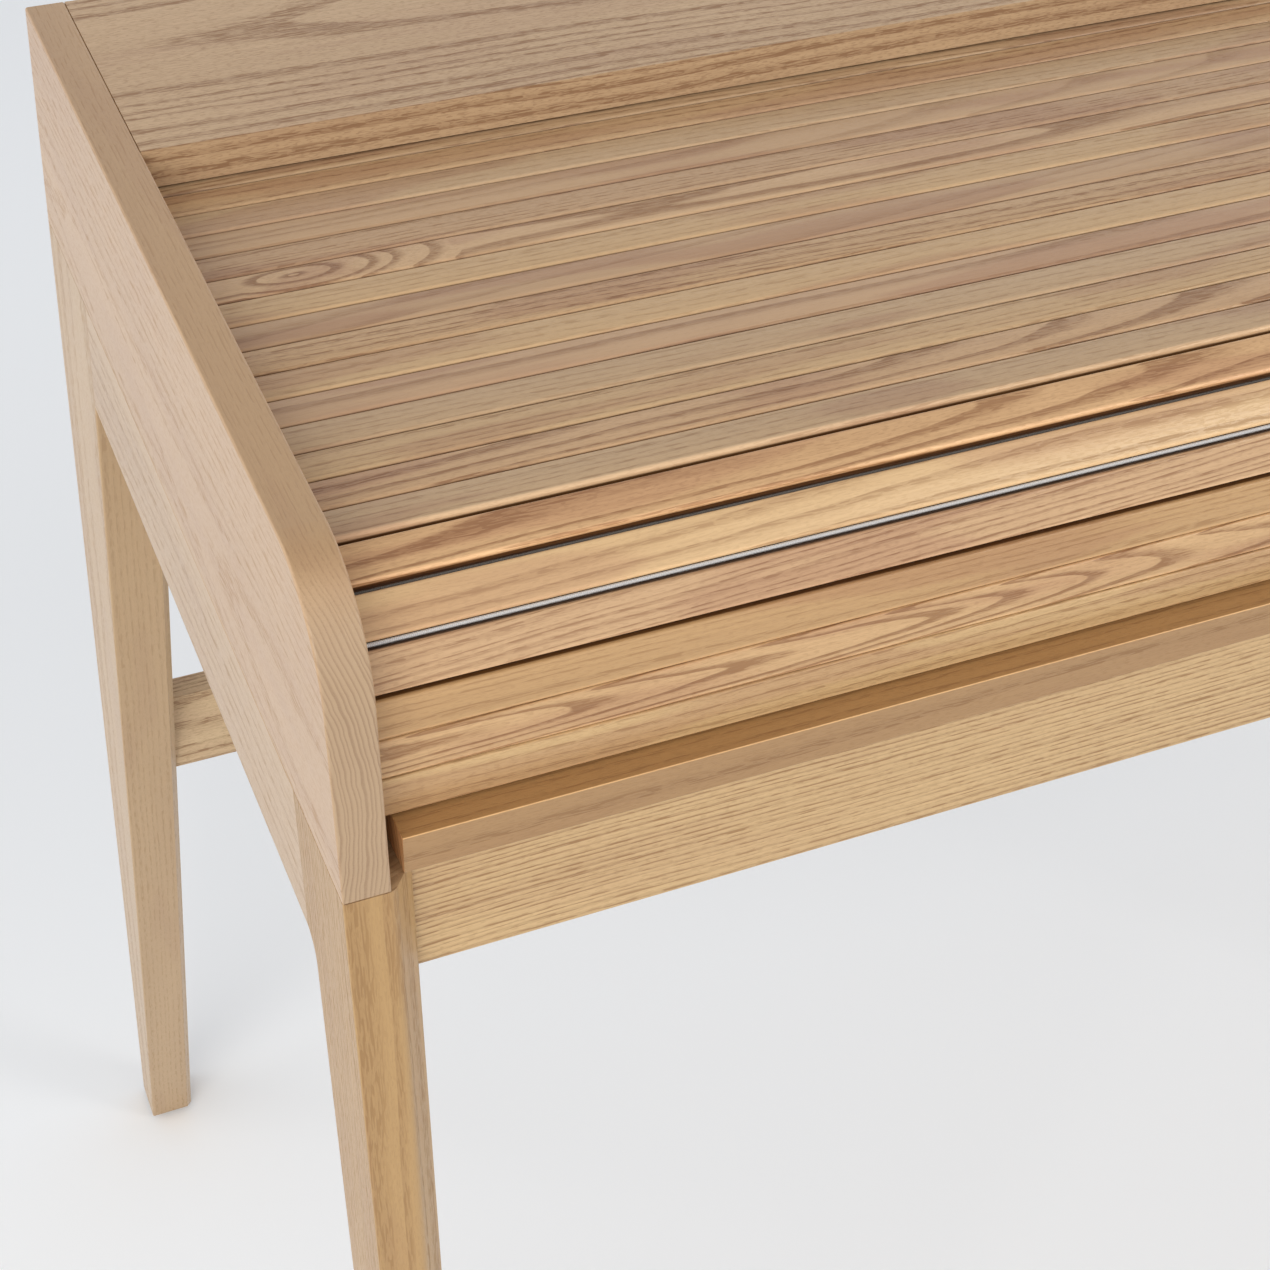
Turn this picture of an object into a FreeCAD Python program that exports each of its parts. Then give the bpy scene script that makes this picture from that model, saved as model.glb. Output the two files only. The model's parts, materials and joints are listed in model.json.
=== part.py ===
"""Ash tambour desk: a slatted roll top over a sliding writing board, on raked legs.

Millimetres, +Z up. X runs along the width and the front faces -Y. The outlines are drawn
from a corner datum (left outer side, front foot, floor); every piece is then placed so that
the origin is on the floor, in the middle of the desk's footprint.
"""
import FreeCAD, Part
import math
import os

import Sketcher
from FreeCAD import Placement, Rotation, Vector

SIZES = {
    "overall_width": 1100.0,      # outside to outside of the two hood side panels
    "overall_depth": 620.0,       # front foot to back foot, on the floor
    "overall_height": 850.0,
    "seam_height": 754.0,         # top of legs, rails and aprons; the hood stands on it
    "front_splay": 44.8,          # how far the front foot stands ahead of the seam
    "rear_splay": 204.6,          # how far the back foot stands behind the seam
    "side_thickness": 13.5,
    "corner_radius": 35.5,        # front top corner of the side panel
    "edge_round": 0.9,            # softened arrises
    "seam_bevel": 0.4,            # along the joint between the hood and the legs
    "leg_width": 21.7,
    "back_leg_width": 25.2,
    "front_leg_head": 47.0,       # depth of the front leg beside the rail
    "front_leg_neck": 40.4,       # depth where the curve under the rail ends
    "front_leg_foot": 26.0,
    "neck_drop": 10.7,            # rail underside down to the end of that curve
    "neck_curve": 11.2,           # radius of that curve
    "back_leg_head": 63.5,
    "back_leg_foot": 26.5,
    "bevel_across": 7.5,          # inner front bevel of the front leg
    "bevel_back": 9.3,
    "bevel_blend": 4.0,           # softened edge between that bevel and the leg's face
    "back_bevel": 3.0,
    "glide_height": 3.0,
    "glide_radius": 9.0,
    "rail_height": 52.7,
    "apron_height": 44.7,
    "rail_thickness": 18.5,
    "apron_setback": 11.2,        # apron face behind the leg face
    "apron_thickness": 17.0,
    "rear_rail_place": 349.0,     # behind the seam line of the front
    "stretcher_place": 415.7,
    "stretcher_bottom": 421.3,
    "stretcher_height": 44.3,
    "stretcher_thickness": 13.5,
    "tenon_length": 14.0,
    "tenon_thickness": 8.0,
    "tenon_shoulder": 6.0,
    "side_tenon": 12.0,
    "deck_thickness": 9.0,
    "board_setback": 5.1,         # lip face behind the front of the seam
    "board_side_gap": 5.1,        # open joint between the board and the side panel
    "board_depth": 331.0,
    "board_thickness": 13.0,
    "slide_gap": 0.2,
    "runner_front": 56.0,
    "runner_length": 280.0,
    "runner_width": 4.7,
    "screw_shank": 1.5,
    "screw_head": 3.0,
    "screw_length": 11.0,
    "curtain_recess": 12.6,       # slat faces behind the front edge of the side panel
    "curtain_drop": 13.7,         # slat faces below the top edge of the side panel
    "slat_thickness": 4.2,
    "slat_pitch": 13.05,
    "slat_gap": 0.5,
    "fold_gap": 1.1,              # wider joint where the canvas folds
    "open_gap": 2.4,              # widest joint, low in the corner: the canvas shows in it
    "slat_round": 0.9,
    "curtain_radius": 26.0,       # radius of the slat backs round the corner
    "curtain_lift": 0.4,          # closed curtain above the writing board
    "curtain_end_gap": 0.5,
    "tongue_length": 6.0,
    "tongue_lift": 0.4,
    "tongue_thickness": 2.8,
    "groove_depth": 6.5,
    "groove_width": 3.7,
    "groove_foot": 763.0,
    "groove_rear": 336.0,
    "canvas_thickness": 0.5,
    "canvas_margin": 20.0,
    "canvas_fold": 0.3,
    "lead_thickness": 9.0,
    "lead_margin": 30.0,
    "rear_top_front": 235.0,
    "rear_top_thickness": 13.0,
    "back_thickness": 8.0,
    "back_inset": 4.0,
    "organiser_front": 186.0,
    "organiser_rear": 337.0,
    "organiser_floor": 6.0,
    "organiser_lift": 1.0,
    "divider_thickness": 6.0,
    "divider_top": 825.0,
    "drawer_bay": 260.0,
    "drawer_gap": 0.5,
    "drawer_front": 8.0,
    "drawer_wall": 6.0,
    "drawer_bottom": 4.0,
    "drawer_depth": 140.0,
    "drawer_side_height": 44.0,
    "knob_radius": 8.0,
    "knob_length": 15.0,
    "dowel_radius": 3.0,
    "dowel_hole": 3.15,
    "dowel_depth": 12.0,
}
TOP_SLATS = 15
FRONT_SLATS = 3
BEND_SLATS = 3
OPEN_BAYS = 3
DOWEL_PLACES = (0.25, 0.75)
SCREW_PLACES = (0.1, 0.9)

doc = FreeCAD.newDocument("tambour_desk")
sheet = doc.addObject("Spreadsheet::Sheet", "Sizes")
for row, (alias, number) in enumerate(SIZES.items(), start=1):
    sheet.set(f"A{row}", alias)
    sheet.set(f"B{row}", str(number))
    sheet.setAlias(f"B{row}", alias)
doc.recompute()
pieces = []


class Size:
    """A length that carries its number and the formula that binds it to the sheet."""

    def __init__(self, number, formula):
        self.number = number
        self.formula = formula

    def joined(self, other, sign, number):
        return Size(number, f"({self.formula} {sign} {as_size(other).formula})")

    def __add__(self, other):
        return self.joined(other, "+", self.number + as_size(other).number)

    def __sub__(self, other):
        return self.joined(other, "-", self.number - as_size(other).number)

    def __mul__(self, other):
        return self.joined(other, "*", self.number * as_size(other).number)

    def __truediv__(self, other):
        return self.joined(other, "/", self.number / as_size(other).number)

    def root(self):
        return Size(math.sqrt(self.number), f"sqrt({self.formula})")

    def sine(self):
        return Size(math.sin(math.radians(self.number)), f"sin({self.formula})")

    def cosine(self):
        return Size(math.cos(math.radians(self.number)), f"cos({self.formula})")

    def slope_angle(self):
        """Angle in degrees whose tangent this is; dividing by atan(1) leaves a plain number."""
        degrees = math.degrees(math.atan(self.number))
        return Size(degrees, f"(atan({self.formula}) / atan(1) * 45)")


def as_size(value):
    return value if isinstance(value, Size) else Size(float(value), repr(float(value)))


def size(alias):
    return Size(SIZES[alias], f"Sizes.{alias}")


# ---------------------------------------------------------------- lines of the side view
WIDTH = size("overall_width")
SEAM = size("seam_height")
FRONT = size("front_splay")
RAIL_BOTTOM = SEAM - size("rail_height")
APRON_BOTTOM = SEAM - size("apron_height")
FRONT_SLOPE = FRONT / SEAM
REAR_SLOPE = size("rear_splay") / SEAM
FRONT_STRETCH = (FRONT_SLOPE * FRONT_SLOPE + 1).root()
REAR_STRETCH = (REAR_SLOPE * REAR_SLOPE + 1).root()


def front_line(height):
    """Depth of the raked front edge at a height above the floor."""
    return FRONT_SLOPE * height


def rear_line(height):
    """Depth of the raked rear edge at a height above the floor."""
    return size("overall_depth") - REAR_SLOPE * height


def round_corner(recess, drop, radius):
    """Tangent points and centre of an arc that lies inside the hood's outline.

    The arc touches a line parallel to the front edge, the recess behind it, and a level line,
    the drop below the top edge of the side panel.
    """
    level = size("overall_height") - drop
    centre_up = level - radius
    centre_in = front_line(centre_up) + (radius + recess) * FRONT_STRETCH
    low = (centre_in - radius / FRONT_STRETCH,
           centre_up + radius * FRONT_SLOPE / FRONT_STRETCH)
    return low, (centre_in, level), (centre_in, centre_up)


FOOTPRINT_MIDDLE = (front_line(size("glide_height")) + rear_line(size("glide_height"))) / 2


# ---------------------------------------------------------------- document helpers
def finish(item, label):
    """Name a piece, move it to the desk's own origin and keep it for the export."""
    item.Label = label
    pieces.append(item)
    return item


def bind_place(item, x=0.0, y=0.0, z=0.0):
    """Set a placement from the corner datum to the middle of the footprint."""
    offsets = (as_size(x) - WIDTH / 2, as_size(y) - FOOTPRINT_MIDDLE, as_size(z))
    for axis, offset in zip("xyz", offsets):
        item.setExpression(f"Placement.Base.{axis}", offset.formula)


def new_body(label):
    body = doc.addObject("PartDesign::Body", label)
    bind_place(body)
    return finish(body, label)


def origin_plane(body, role):
    return next(part for part in body.Origin.OriginFeatures if part.Role == role)


def new_sketch(body, role, offset=0.0):
    """A sketch parallel to an origin plane of its body, moved along the plane's normal."""
    sketch = body.newObject("Sketcher::SketchObject", f"{body.Name}_outline")
    sketch.AttachmentSupport = [(origin_plane(body, role), "")]
    sketch.MapMode = "FlatFace"
    if as_size(offset).number:
        sketch.setExpression("AttachmentOffset.Base.z", as_size(offset).formula)
    return sketch


def spot(corner):
    return Vector(as_size(corner[0]).number, as_size(corner[1]).number, 0)


def bind(sketch, constraint, value):
    """Add a sketch constraint whose value follows the sheet."""
    index = sketch.addConstraint(constraint)
    sketch.renameConstraint(index, f"size_{index}")
    sketch.setExpression(f"Constraints.size_{index}", as_size(value).formula)


def pin(sketch, geometry, end, corner):
    """Tie one end of an edge to its place, measured from the sketch's origin."""
    for name, axis, value in (("DistanceX", -2, corner[0]), ("DistanceY", -1, corner[1])):
        number = as_size(value).number
        if abs(number) < 1e-9:
            sketch.addConstraint(Sketcher.Constraint("PointOnObject", geometry, end, axis))
        else:
            bind(sketch, Sketcher.Constraint(name, -1, 1, geometry, end, number), value)


def add_arc(sketch, start, end, centre, radius):
    """Add the shorter arc from start to end; tells which of its ends is the start."""
    first = math.atan2(start.y - centre.y, start.x - centre.x)
    last = math.atan2(end.y - centre.y, end.x - centre.x)
    turn = (last - first) % (2 * math.pi)
    if turn > math.pi:
        first, last = last, first
    circle = Part.Circle(centre, Vector(0, 0, 1), as_size(radius).number)
    index = sketch.addGeometry(Part.ArcOfCircle(circle, first, last), False)
    bind(sketch, Sketcher.Constraint("Radius", index, as_size(radius).number), radius)
    return (index, 2, 1) if turn > math.pi else (index, 1, 2)


def draw_loop(sketch, corners, arcs=None):
    """Close a loop through the corners; arcs maps a corner's number to (centre, radius)."""
    arcs = arcs or {}
    edges = []
    for number, corner in enumerate(corners):
        start = spot(corner)
        end = spot(corners[(number + 1) % len(corners)])
        if number in arcs:
            centre, radius = arcs[number]
            edges.append(add_arc(sketch, start, end, spot(centre), radius))
        else:
            edges.append((sketch.addGeometry(Part.LineSegment(start, end), False), 1, 2))
    for number, (edge, _, last) in enumerate(edges):
        following, first, _ = edges[(number + 1) % len(edges)]
        sketch.addConstraint(Sketcher.Constraint("Coincident", edge, last, following, first))
    for (edge, first, _), corner in zip(edges, corners):
        pin(sketch, edge, first, corner)


def pad(body, sketch, length):
    feature = body.newObject("PartDesign::Pad", f"{body.Name}_pad")
    feature.Profile = sketch
    feature.setExpression("Length", as_size(length).formula)
    sketch.Visibility = False
    doc.recompute()
    return feature


def pocket(body, sketch, depth, reverse):
    feature = body.newObject("PartDesign::Pocket", f"{body.Name}_pocket")
    feature.Profile = sketch
    feature.setExpression("Length", as_size(depth).formula)
    feature.Reversed = reverse
    doc.recompute()
    return feature


def block(body, kind, corner, extents):
    """Add or cut a rectangular block inside a body: a tenon or a mortise."""
    feature = body.newObject(f"PartDesign::{kind}Box", f"{body.Name}_{kind.lower()}")
    for name, value in zip(("Length", "Width", "Height"), extents):
        feature.setExpression(name, as_size(value).formula)
    for axis, value in zip("xyz", corner):
        feature.setExpression(f"Placement.Base.{axis}", as_size(value).formula)
    doc.recompute()
    return feature


def hole(body, centre, radius, depth, along):
    """Cut a round hole of the given depth from its centre point, along +X or +Z."""
    feature = body.newObject("PartDesign::SubtractiveCylinder", f"{body.Name}_hole")
    feature.setExpression("Radius", as_size(radius).formula)
    feature.setExpression("Height", as_size(depth).formula)
    turn = Rotation(Vector(0, 1, 0), 90) if along == "x" else Rotation()
    feature.Placement = Placement(Vector(), turn)
    for axis, value in zip("xyz", centre):
        feature.setExpression(f"Placement.Base.{axis}", as_size(value).formula)
    doc.recompute()
    return feature


def edges_near(feature, points, reach=1.5):
    """Names of the feature's edges that pass within reach of one of the points."""
    found = []
    for number, edge in enumerate(feature.Shape.Edges, start=1):
        for point in points:
            probe = Part.Vertex(Vector(*[as_size(value).number for value in point]))
            if edge.distToShape(probe)[0] < reach / 10:
                found.append(f"Edge{number}")
                break
    return found


def dress(body, kind, feature, points, **sizes):
    """Round or bevel the edges of a feature that pass through the points."""
    result = body.newObject(f"PartDesign::{kind}", f"{body.Name}_{kind.lower()}")
    result.Base = (feature, edges_near(feature, points))
    for name, value in sizes.items():
        if isinstance(value, Size):
            result.setExpression(name, value.formula)
        else:
            setattr(result, name, value)
    doc.recompute()
    return result


def slab(label, corner, extents):
    """A plain board, sawn square: corner and extents are given as (x, y, z)."""
    board = doc.addObject("Part::Box", label)
    for name, value in zip(("Length", "Width", "Height"), extents):
        board.setExpression(name, as_size(value).formula)
    bind_place(board, *corner)
    return finish(board, label)


def middle(first, second):
    return (as_size(first) + second) / 2


class Side:
    """Left or right half of the desk: measures inwards from the outer face."""

    def __init__(self, name):
        self.name = name
        self.left = name == "left"

    def at(self, inward):
        return as_size(inward) if self.left else WIDTH - inward

    def span(self, near, far):
        """Lower x of a stretch between two distances from the outer face."""
        return as_size(near) if self.left else WIDTH - far


SIDES = (Side("left"), Side("right"))


# ---------------------------------------------------------------- hood side panels
def dowel_spots(side):
    """Places of the dowels that pin the side panel to the side rail."""
    start = front_line(SEAM) + size("front_leg_head")
    length = rear_line(SEAM) - size("back_leg_head") - start
    return [(side.at(size("side_thickness") / 2), start + length * share)
            for share in DOWEL_PLACES]


def screw_spots(side):
    """Places of the screws through each board runner, at mid-height of the runner."""
    start = FRONT + size("runner_front")
    height = SEAM + size("board_thickness") / 2
    return [(start + size("runner_length") * share, height) for share in SCREW_PLACES]


def groove_outline():
    """Band that the slat tongues run in: up the front, round the corner and level back."""
    behind = size("slat_thickness") + size("slide_gap")
    deep = size("curtain_recess") + behind
    low = size("curtain_drop") + behind
    shallow = deep - size("groove_width")
    inner_radius = size("curtain_radius") - size("slide_gap")
    outer_radius = inner_radius + size("groove_width")
    foot = size("groove_foot")
    rear = FRONT + size("groove_rear")
    inner_low, inner_top, centre = round_corner(deep, low, inner_radius)
    outer_low, outer_top, _ = round_corner(shallow, low - size("groove_width"), outer_radius)
    corners = [
        (front_line(foot) + shallow * FRONT_STRETCH, foot), outer_low, outer_top,
        (rear, outer_top[1]), (rear, inner_top[1]), inner_top, inner_low,
        (front_line(foot) + deep * FRONT_STRETCH, foot),
    ]
    return corners, {1: (centre, outer_radius), 5: (centre, inner_radius)}


def side_panel(side):
    """Hood side: raked front and rear edges, rounded front corner, curtain groove inside."""
    top = size("overall_height")
    thickness = size("side_thickness")
    body = new_body(f"side_panel_{side.name}")
    low, high, centre = round_corner(as_size(0), as_size(0), size("corner_radius"))
    outline = new_sketch(body, "YZ_Plane", side.span(0, thickness))
    draw_loop(
        outline,
        [(front_line(SEAM), SEAM), low, high, (rear_line(top), top), (rear_line(SEAM), SEAM)],
        {1: (centre, size("corner_radius"))},
    )
    blank = pad(body, outline, thickness)
    seam = [(side.at(0), middle(front_line(SEAM), rear_line(SEAM)), SEAM),
            (side.at(thickness / 2), front_line(SEAM), SEAM)]
    blank = dress(body, "Chamfer", blank, seam, Size=size("seam_bevel"))
    faces = (side.at(0), side.at(thickness))
    arrises = [(x, middle(high[0], rear_line(top)), top) for x in faces]
    arrises += [(x, front_line(middle(SEAM, low[1])), middle(SEAM, low[1])) for x in faces]
    arrises += [(x, rear_line(middle(SEAM, top)), middle(SEAM, top)) for x in faces]
    arrises += [(x, high[0] - size("corner_radius") * 0.6, centre[1] + size("corner_radius") * 0.8)
                for x in faces]
    dress(body, "Fillet", blank, arrises, Radius=size("edge_round"))
    band, arcs = groove_outline()
    groove = new_sketch(body, "YZ_Plane", side.at(thickness))
    draw_loop(groove, band, arcs)
    pocket(body, groove, size("groove_depth"), not side.left)
    for x, y in dowel_spots(side):
        hole(body, (x, y, SEAM), size("dowel_hole"), size("dowel_depth"), "z")
    depth = size("screw_length") - size("runner_width")
    for y, z in screw_spots(side):
        hole(body, (side.span(thickness - depth, thickness), y, z), size("screw_shank"), depth, "x")
    return body


# ---------------------------------------------------------------- legs, rails and aprons
def tenon_height():
    return size("rail_height") - size("tenon_shoulder") * 2


def side_tenon_place(side, rear):
    """Corner and extents of the stub tenon at one end of a side rail."""
    length = size("side_tenon")
    reach = as_size(6)
    if rear:
        start = rear_line(SEAM) - size("back_leg_head") - reach
        corner_y, run = start, reach * 2 + length
    else:
        start = front_line(RAIL_BOTTOM) + size("front_leg_head") - length
        corner_y, run = start, length + reach
    x = side.span(size("tenon_shoulder"), size("tenon_shoulder") + size("tenon_thickness"))
    z = RAIL_BOTTOM + size("tenon_shoulder")
    return (x, corner_y, z), (size("tenon_thickness"), run, tenon_height() - size("tenon_shoulder"))


def cross_tenon_place(side, leg, front, bottom, thickness, height):
    """Corner and extents of the tenon of an apron, rear rail or stretcher in a leg."""
    x = side.span(leg - size("tenon_length"), leg)
    y = front + (thickness - size("tenon_thickness")) / 2
    z = bottom + size("tenon_shoulder")
    return (x, y, z), (size("tenon_length"), size("tenon_thickness"), height - size("tenon_shoulder") * 2)


APRON_FRONT = FRONT + size("apron_setback")
REAR_RAIL_FRONT = FRONT + size("rear_rail_place")
STRETCHER_FRONT = FRONT + size("stretcher_place")
APRON = (size("leg_width"), APRON_FRONT, APRON_BOTTOM, size("apron_thickness"), size("apron_height"))
REAR_RAIL = (size("back_leg_width"), REAR_RAIL_FRONT, APRON_BOTTOM, size("apron_thickness"),
             size("apron_height"))
STRETCHER = (size("back_leg_width"), STRETCHER_FRONT, size("stretcher_bottom"),
             size("stretcher_thickness"), size("stretcher_height"))


def seam_edges(side, near, far):
    """A point on the top outer arris of a leg or rail, along the joint with the hood."""
    return [(side.at(0), middle(near, far), SEAM)]


def front_leg(side):
    """Front leg: raked, with a long curve under the rail and a wide inner bevel."""
    body = new_body(f"front_leg_{side.name}")
    foot = size("glide_height")
    neck = RAIL_BOTTOM - size("neck_drop")
    head = (front_line(RAIL_BOTTOM) + size("front_leg_head"), RAIL_BOTTOM)
    waist = (front_line(neck) + size("front_leg_neck"), neck)
    rise, run = head[1] - waist[1], head[0] - waist[0]
    chord = (rise * rise + run * run).root()
    sagitta = (size("neck_curve") * size("neck_curve") - chord * chord / 4).root()
    centre = (middle(head[0], waist[0]) + sagitta * rise / chord,
              middle(head[1], waist[1]) - sagitta * run / chord)
    outline = new_sketch(body, "YZ_Plane", side.span(0, size("leg_width")))
    corners = [
        (front_line(foot), foot), (front_line(foot) + size("front_leg_foot"), foot), waist, head,
        (front_line(SEAM) + size("front_leg_head"), SEAM), (front_line(SEAM), SEAM),
    ]
    draw_loop(outline, corners, {2: (centre, size("neck_curve"))})
    blank = pad(body, outline, size("leg_width"))
    half = SEAM / 2
    inner_edge = (side.at(size("leg_width")), front_line(half), half)
    bevel = dress(body, "Chamfer", blank, [inner_edge], ChamferType="Two distances",
                  Size=size("bevel_across"), Size2=size("bevel_back"))
    face_edge = (side.at(size("leg_width") - size("bevel_across")), front_line(half), half)
    softened = dress(body, "Fillet", bevel, [face_edge], Radius=size("bevel_blend"))
    head_side = seam_edges(side, front_line(SEAM), corners[4][0])
    topped = dress(body, "Chamfer", softened, head_side, Size=size("seam_bevel"))
    outer_edge = (side.at(0), front_line(half), half)
    dress(body, "Fillet", topped, [outer_edge], Radius=size("edge_round"))
    block(body, "Subtractive", *side_tenon_place(side, False))
    block(body, "Subtractive", *cross_tenon_place(side, *APRON))
    return body


def back_leg(side):
    """Back leg: parallel to the hood's rear edge behind the rail, then tapering to the foot."""
    body = new_body(f"back_leg_{side.name}")
    foot = size("glide_height")
    outline = new_sketch(body, "YZ_Plane", side.span(0, size("back_leg_width")))
    knee = (rear_line(RAIL_BOTTOM) - size("back_leg_head"), RAIL_BOTTOM)
    toe = (rear_line(foot) - size("back_leg_foot"), foot)
    draw_loop(outline, [
        toe, (rear_line(foot), foot), (rear_line(SEAM), SEAM),
        (rear_line(SEAM) - size("back_leg_head"), SEAM), knee,
    ])
    blank = pad(body, outline, size("back_leg_width"))
    head_side = seam_edges(side, rear_line(SEAM) - size("back_leg_head"), rear_line(SEAM))
    topped = dress(body, "Chamfer", blank, head_side, Size=size("seam_bevel"))
    shin = (middle(toe[0], knee[0]), middle(toe[1], knee[1]))
    inner_shin = (side.at(size("back_leg_width")), *shin)
    bevel = dress(body, "Chamfer", topped, [inner_shin], Size=size("back_bevel"))
    calf = middle(foot, SEAM)
    dress(body, "Fillet", bevel, [(side.at(0), *shin), (side.at(0), rear_line(calf), calf)],
          Radius=size("edge_round"))
    block(body, "Subtractive", *side_tenon_place(side, True))
    block(body, "Subtractive", *cross_tenon_place(side, *REAR_RAIL))
    block(body, "Subtractive", *cross_tenon_place(side, *STRETCHER))
    return body


def side_rail(side):
    """Rail under the side panel, tenoned into both legs."""
    body = new_body(f"side_rail_{side.name}")
    outline = new_sketch(body, "YZ_Plane", side.span(0, size("rail_thickness")))
    corners = [
        (front_line(RAIL_BOTTOM) + size("front_leg_head"), RAIL_BOTTOM),
        (rear_line(RAIL_BOTTOM) - size("back_leg_head"), RAIL_BOTTOM),
        (rear_line(SEAM) - size("back_leg_head"), SEAM),
        (front_line(SEAM) + size("front_leg_head"), SEAM),
    ]
    draw_loop(outline, corners)
    blank = pad(body, outline, size("rail_thickness"))
    dress(body, "Chamfer", blank, seam_edges(side, corners[2][0], corners[3][0]), Size=size("seam_bevel"))
    for rear in (False, True):
        block(body, "Additive", *side_tenon_place(side, rear))
    for x, y in dowel_spots(side):
        hole(body, (x, y, SEAM - size("dowel_depth")), size("dowel_hole"), size("dowel_depth"), "z")
    return body


def cross_member(label, leg, front, bottom, thickness, height):
    """A board between two legs, with a tenon at each end and softened lower arrises."""
    body = new_body(label)
    outline = new_sketch(body, "YZ_Plane", leg)
    draw_loop(outline, [
        (front, bottom), (front + thickness, bottom),
        (front + thickness, bottom + height), (front, bottom + height),
    ])
    blank = pad(body, outline, WIDTH - leg * 2)
    arrises = [(WIDTH / 2, front, bottom), (WIDTH / 2, front + thickness, bottom)]
    dress(body, "Fillet", blank, arrises, Radius=size("edge_round"))
    for side in SIDES:
        block(body, "Additive", *cross_tenon_place(side, leg, front, bottom, thickness, height))
    return body


# ---------------------------------------------------------------- deck and writing board
def deck_panel():
    """Fixed deck under the sliding board, notched round the four legs."""
    body = new_body("deck_panel")
    rail = size("rail_thickness")
    leg = size("leg_width") + size("slide_gap")
    back_leg = size("back_leg_width") + size("slide_gap")
    front = APRON_FRONT + size("apron_thickness")
    front_notch = FRONT + size("front_leg_head") + size("slide_gap")
    rear_notch = rear_line(SEAM) - size("back_leg_head") - size("slide_gap")
    rear = REAR_RAIL_FRONT
    right = [(leg, front), (leg, front_notch), (rail, front_notch), (rail, rear_notch),
             (back_leg, rear_notch), (back_leg, rear)]
    outline = new_sketch(body, "XY_Plane", SEAM - size("deck_thickness") - size("slide_gap"))
    draw_loop(outline, right + [(WIDTH - x, y) for x, y in reversed(right)])
    pad(body, outline, size("deck_thickness"))
    return body


BOARD_BOTTOM = SEAM + size("slide_gap")
BOARD_TOP = BOARD_BOTTOM + size("board_thickness")


def writing_board():
    """Sliding writing board; its front edge is the lip that the curtain closes behind."""
    body = new_body("writing_board")
    start = size("side_thickness") + size("board_side_gap")
    front = FRONT + size("board_setback")
    outline = new_sketch(body, "YZ_Plane", start)
    draw_loop(outline, [
        (front, BOARD_BOTTOM), (front + size("board_depth"), BOARD_BOTTOM),
        (front + size("board_depth"), BOARD_TOP), (front, BOARD_TOP),
    ])
    blank = pad(body, outline, WIDTH - start * 2)
    arrises = [(WIDTH / 2, front, BOARD_BOTTOM), (WIDTH / 2, front, BOARD_TOP)]
    dress(body, "Fillet", blank, arrises, Radius=size("edge_round") / 2)
    return body


def board_runner(side):
    """Hardwood strip that guides the board, screwed to the side panel."""
    body = new_body(f"board_runner_{side.name}")
    near = size("side_thickness")
    far = near + size("runner_width")
    start = FRONT + size("runner_front")
    outline = new_sketch(body, "YZ_Plane", side.span(near, far))
    draw_loop(outline, [
        (start, SEAM), (start + size("runner_length"), SEAM),
        (start + size("runner_length"), BOARD_TOP), (start, BOARD_TOP),
    ])
    pad(body, outline, size("runner_width"))
    for y, z in screw_spots(side):
        hole(body, (side.span(near, far), y, z), size("screw_shank"), size("runner_width"), "x")
        head = body.newObject("PartDesign::SubtractiveCone", "countersink")
        head.setExpression("Radius1", (size("screw_shank") if side.left else size("screw_head")).formula)
        head.setExpression("Radius2", (size("screw_head") if side.left else size("screw_shank")).formula)
        head.setExpression("Height", size("screw_shank").formula)
        head.Placement = Placement(Vector(), Rotation(Vector(0, 1, 0), 90))
        base = side.span(far - size("screw_shank"), far)
        for axis, value in zip("xyz", (base, y, z)):
            head.setExpression(f"Placement.Base.{axis}", value.formula)
        doc.recompute()
    return body


# ---------------------------------------------------------------- tambour curtain
def curtain_frames():
    """Name, hinge line (y, z), tip angle and pitch of every slat, from the rear down.

    Level slats come first, then the slats that turn the corner, then the raked front. The
    corner's folds share the turn evenly, and the last slat fills what is left above the
    writing board.
    """
    pitch = size("slat_pitch")
    depth = size("curtain_recess") + size("slat_thickness")
    level = size("overall_height") - size("curtain_drop") - size("slat_thickness")
    turn = as_size(90) - FRONT_SLOPE.slope_angle()
    tips = [turn * (number + 1) / (BEND_SLATS + 1) for number in range(BEND_SLATS)]
    runs = [pitch * tip.cosine() for tip in tips]
    drops = [pitch * tip.sine() for tip in tips]
    knee = level - total(drops)
    lead = (knee - BOARD_TOP - size("curtain_lift")) * FRONT_STRETCH - pitch * (FRONT_SLATS - 1)
    y = front_line(knee) + depth * FRONT_STRETCH + total(runs)
    frames = [(y + pitch * (TOP_SLATS - number), level, as_size(0), pitch)
              for number in range(TOP_SLATS)]
    z = level
    for tip, run, drop in zip(tips, runs, drops):
        frames.append((y, z, tip, pitch))
        y, z = y - run, z - drop
    for number in range(FRONT_SLATS):
        last = number == FRONT_SLATS - 1
        frames.append((y, z, turn, lead if last else pitch))
        z = z - pitch / FRONT_STRETCH
        y = front_line(z) + depth * FRONT_STRETCH
    return frames


def total(lengths):
    result = as_size(0)
    for length in lengths:
        result = result + length
    return result


def curtain_body(label, frame):
    """A curtain piece: its local origin is the hinge line, and -Y runs down the slat."""
    y, z, tip, _ = frame
    body = doc.addObject("PartDesign::Body", label)
    body.Placement = Placement(Vector(), Rotation(Vector(1, 0, 0), tip.number))
    bind_place(body, 0.0, y, z)
    if tip.number:
        body.setExpression("Placement.Rotation.Angle", tip.formula)
    return finish(body, label)


def strip(body, start_x, corners, arcs=None):
    """Pad a small section across the desk, leaving the same gap at both ends."""
    sketch = new_sketch(body, "YZ_Plane", start_x)
    draw_loop(sketch, corners, arcs)
    return pad(body, sketch, WIDTH - as_size(start_x) * 2)


def gap_before(number):
    """Part of the joint after a slat that lies on its own side of the fold line."""
    return size("fold_gap" if number == TOP_SLATS + 1 else "slat_gap") / 2


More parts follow.
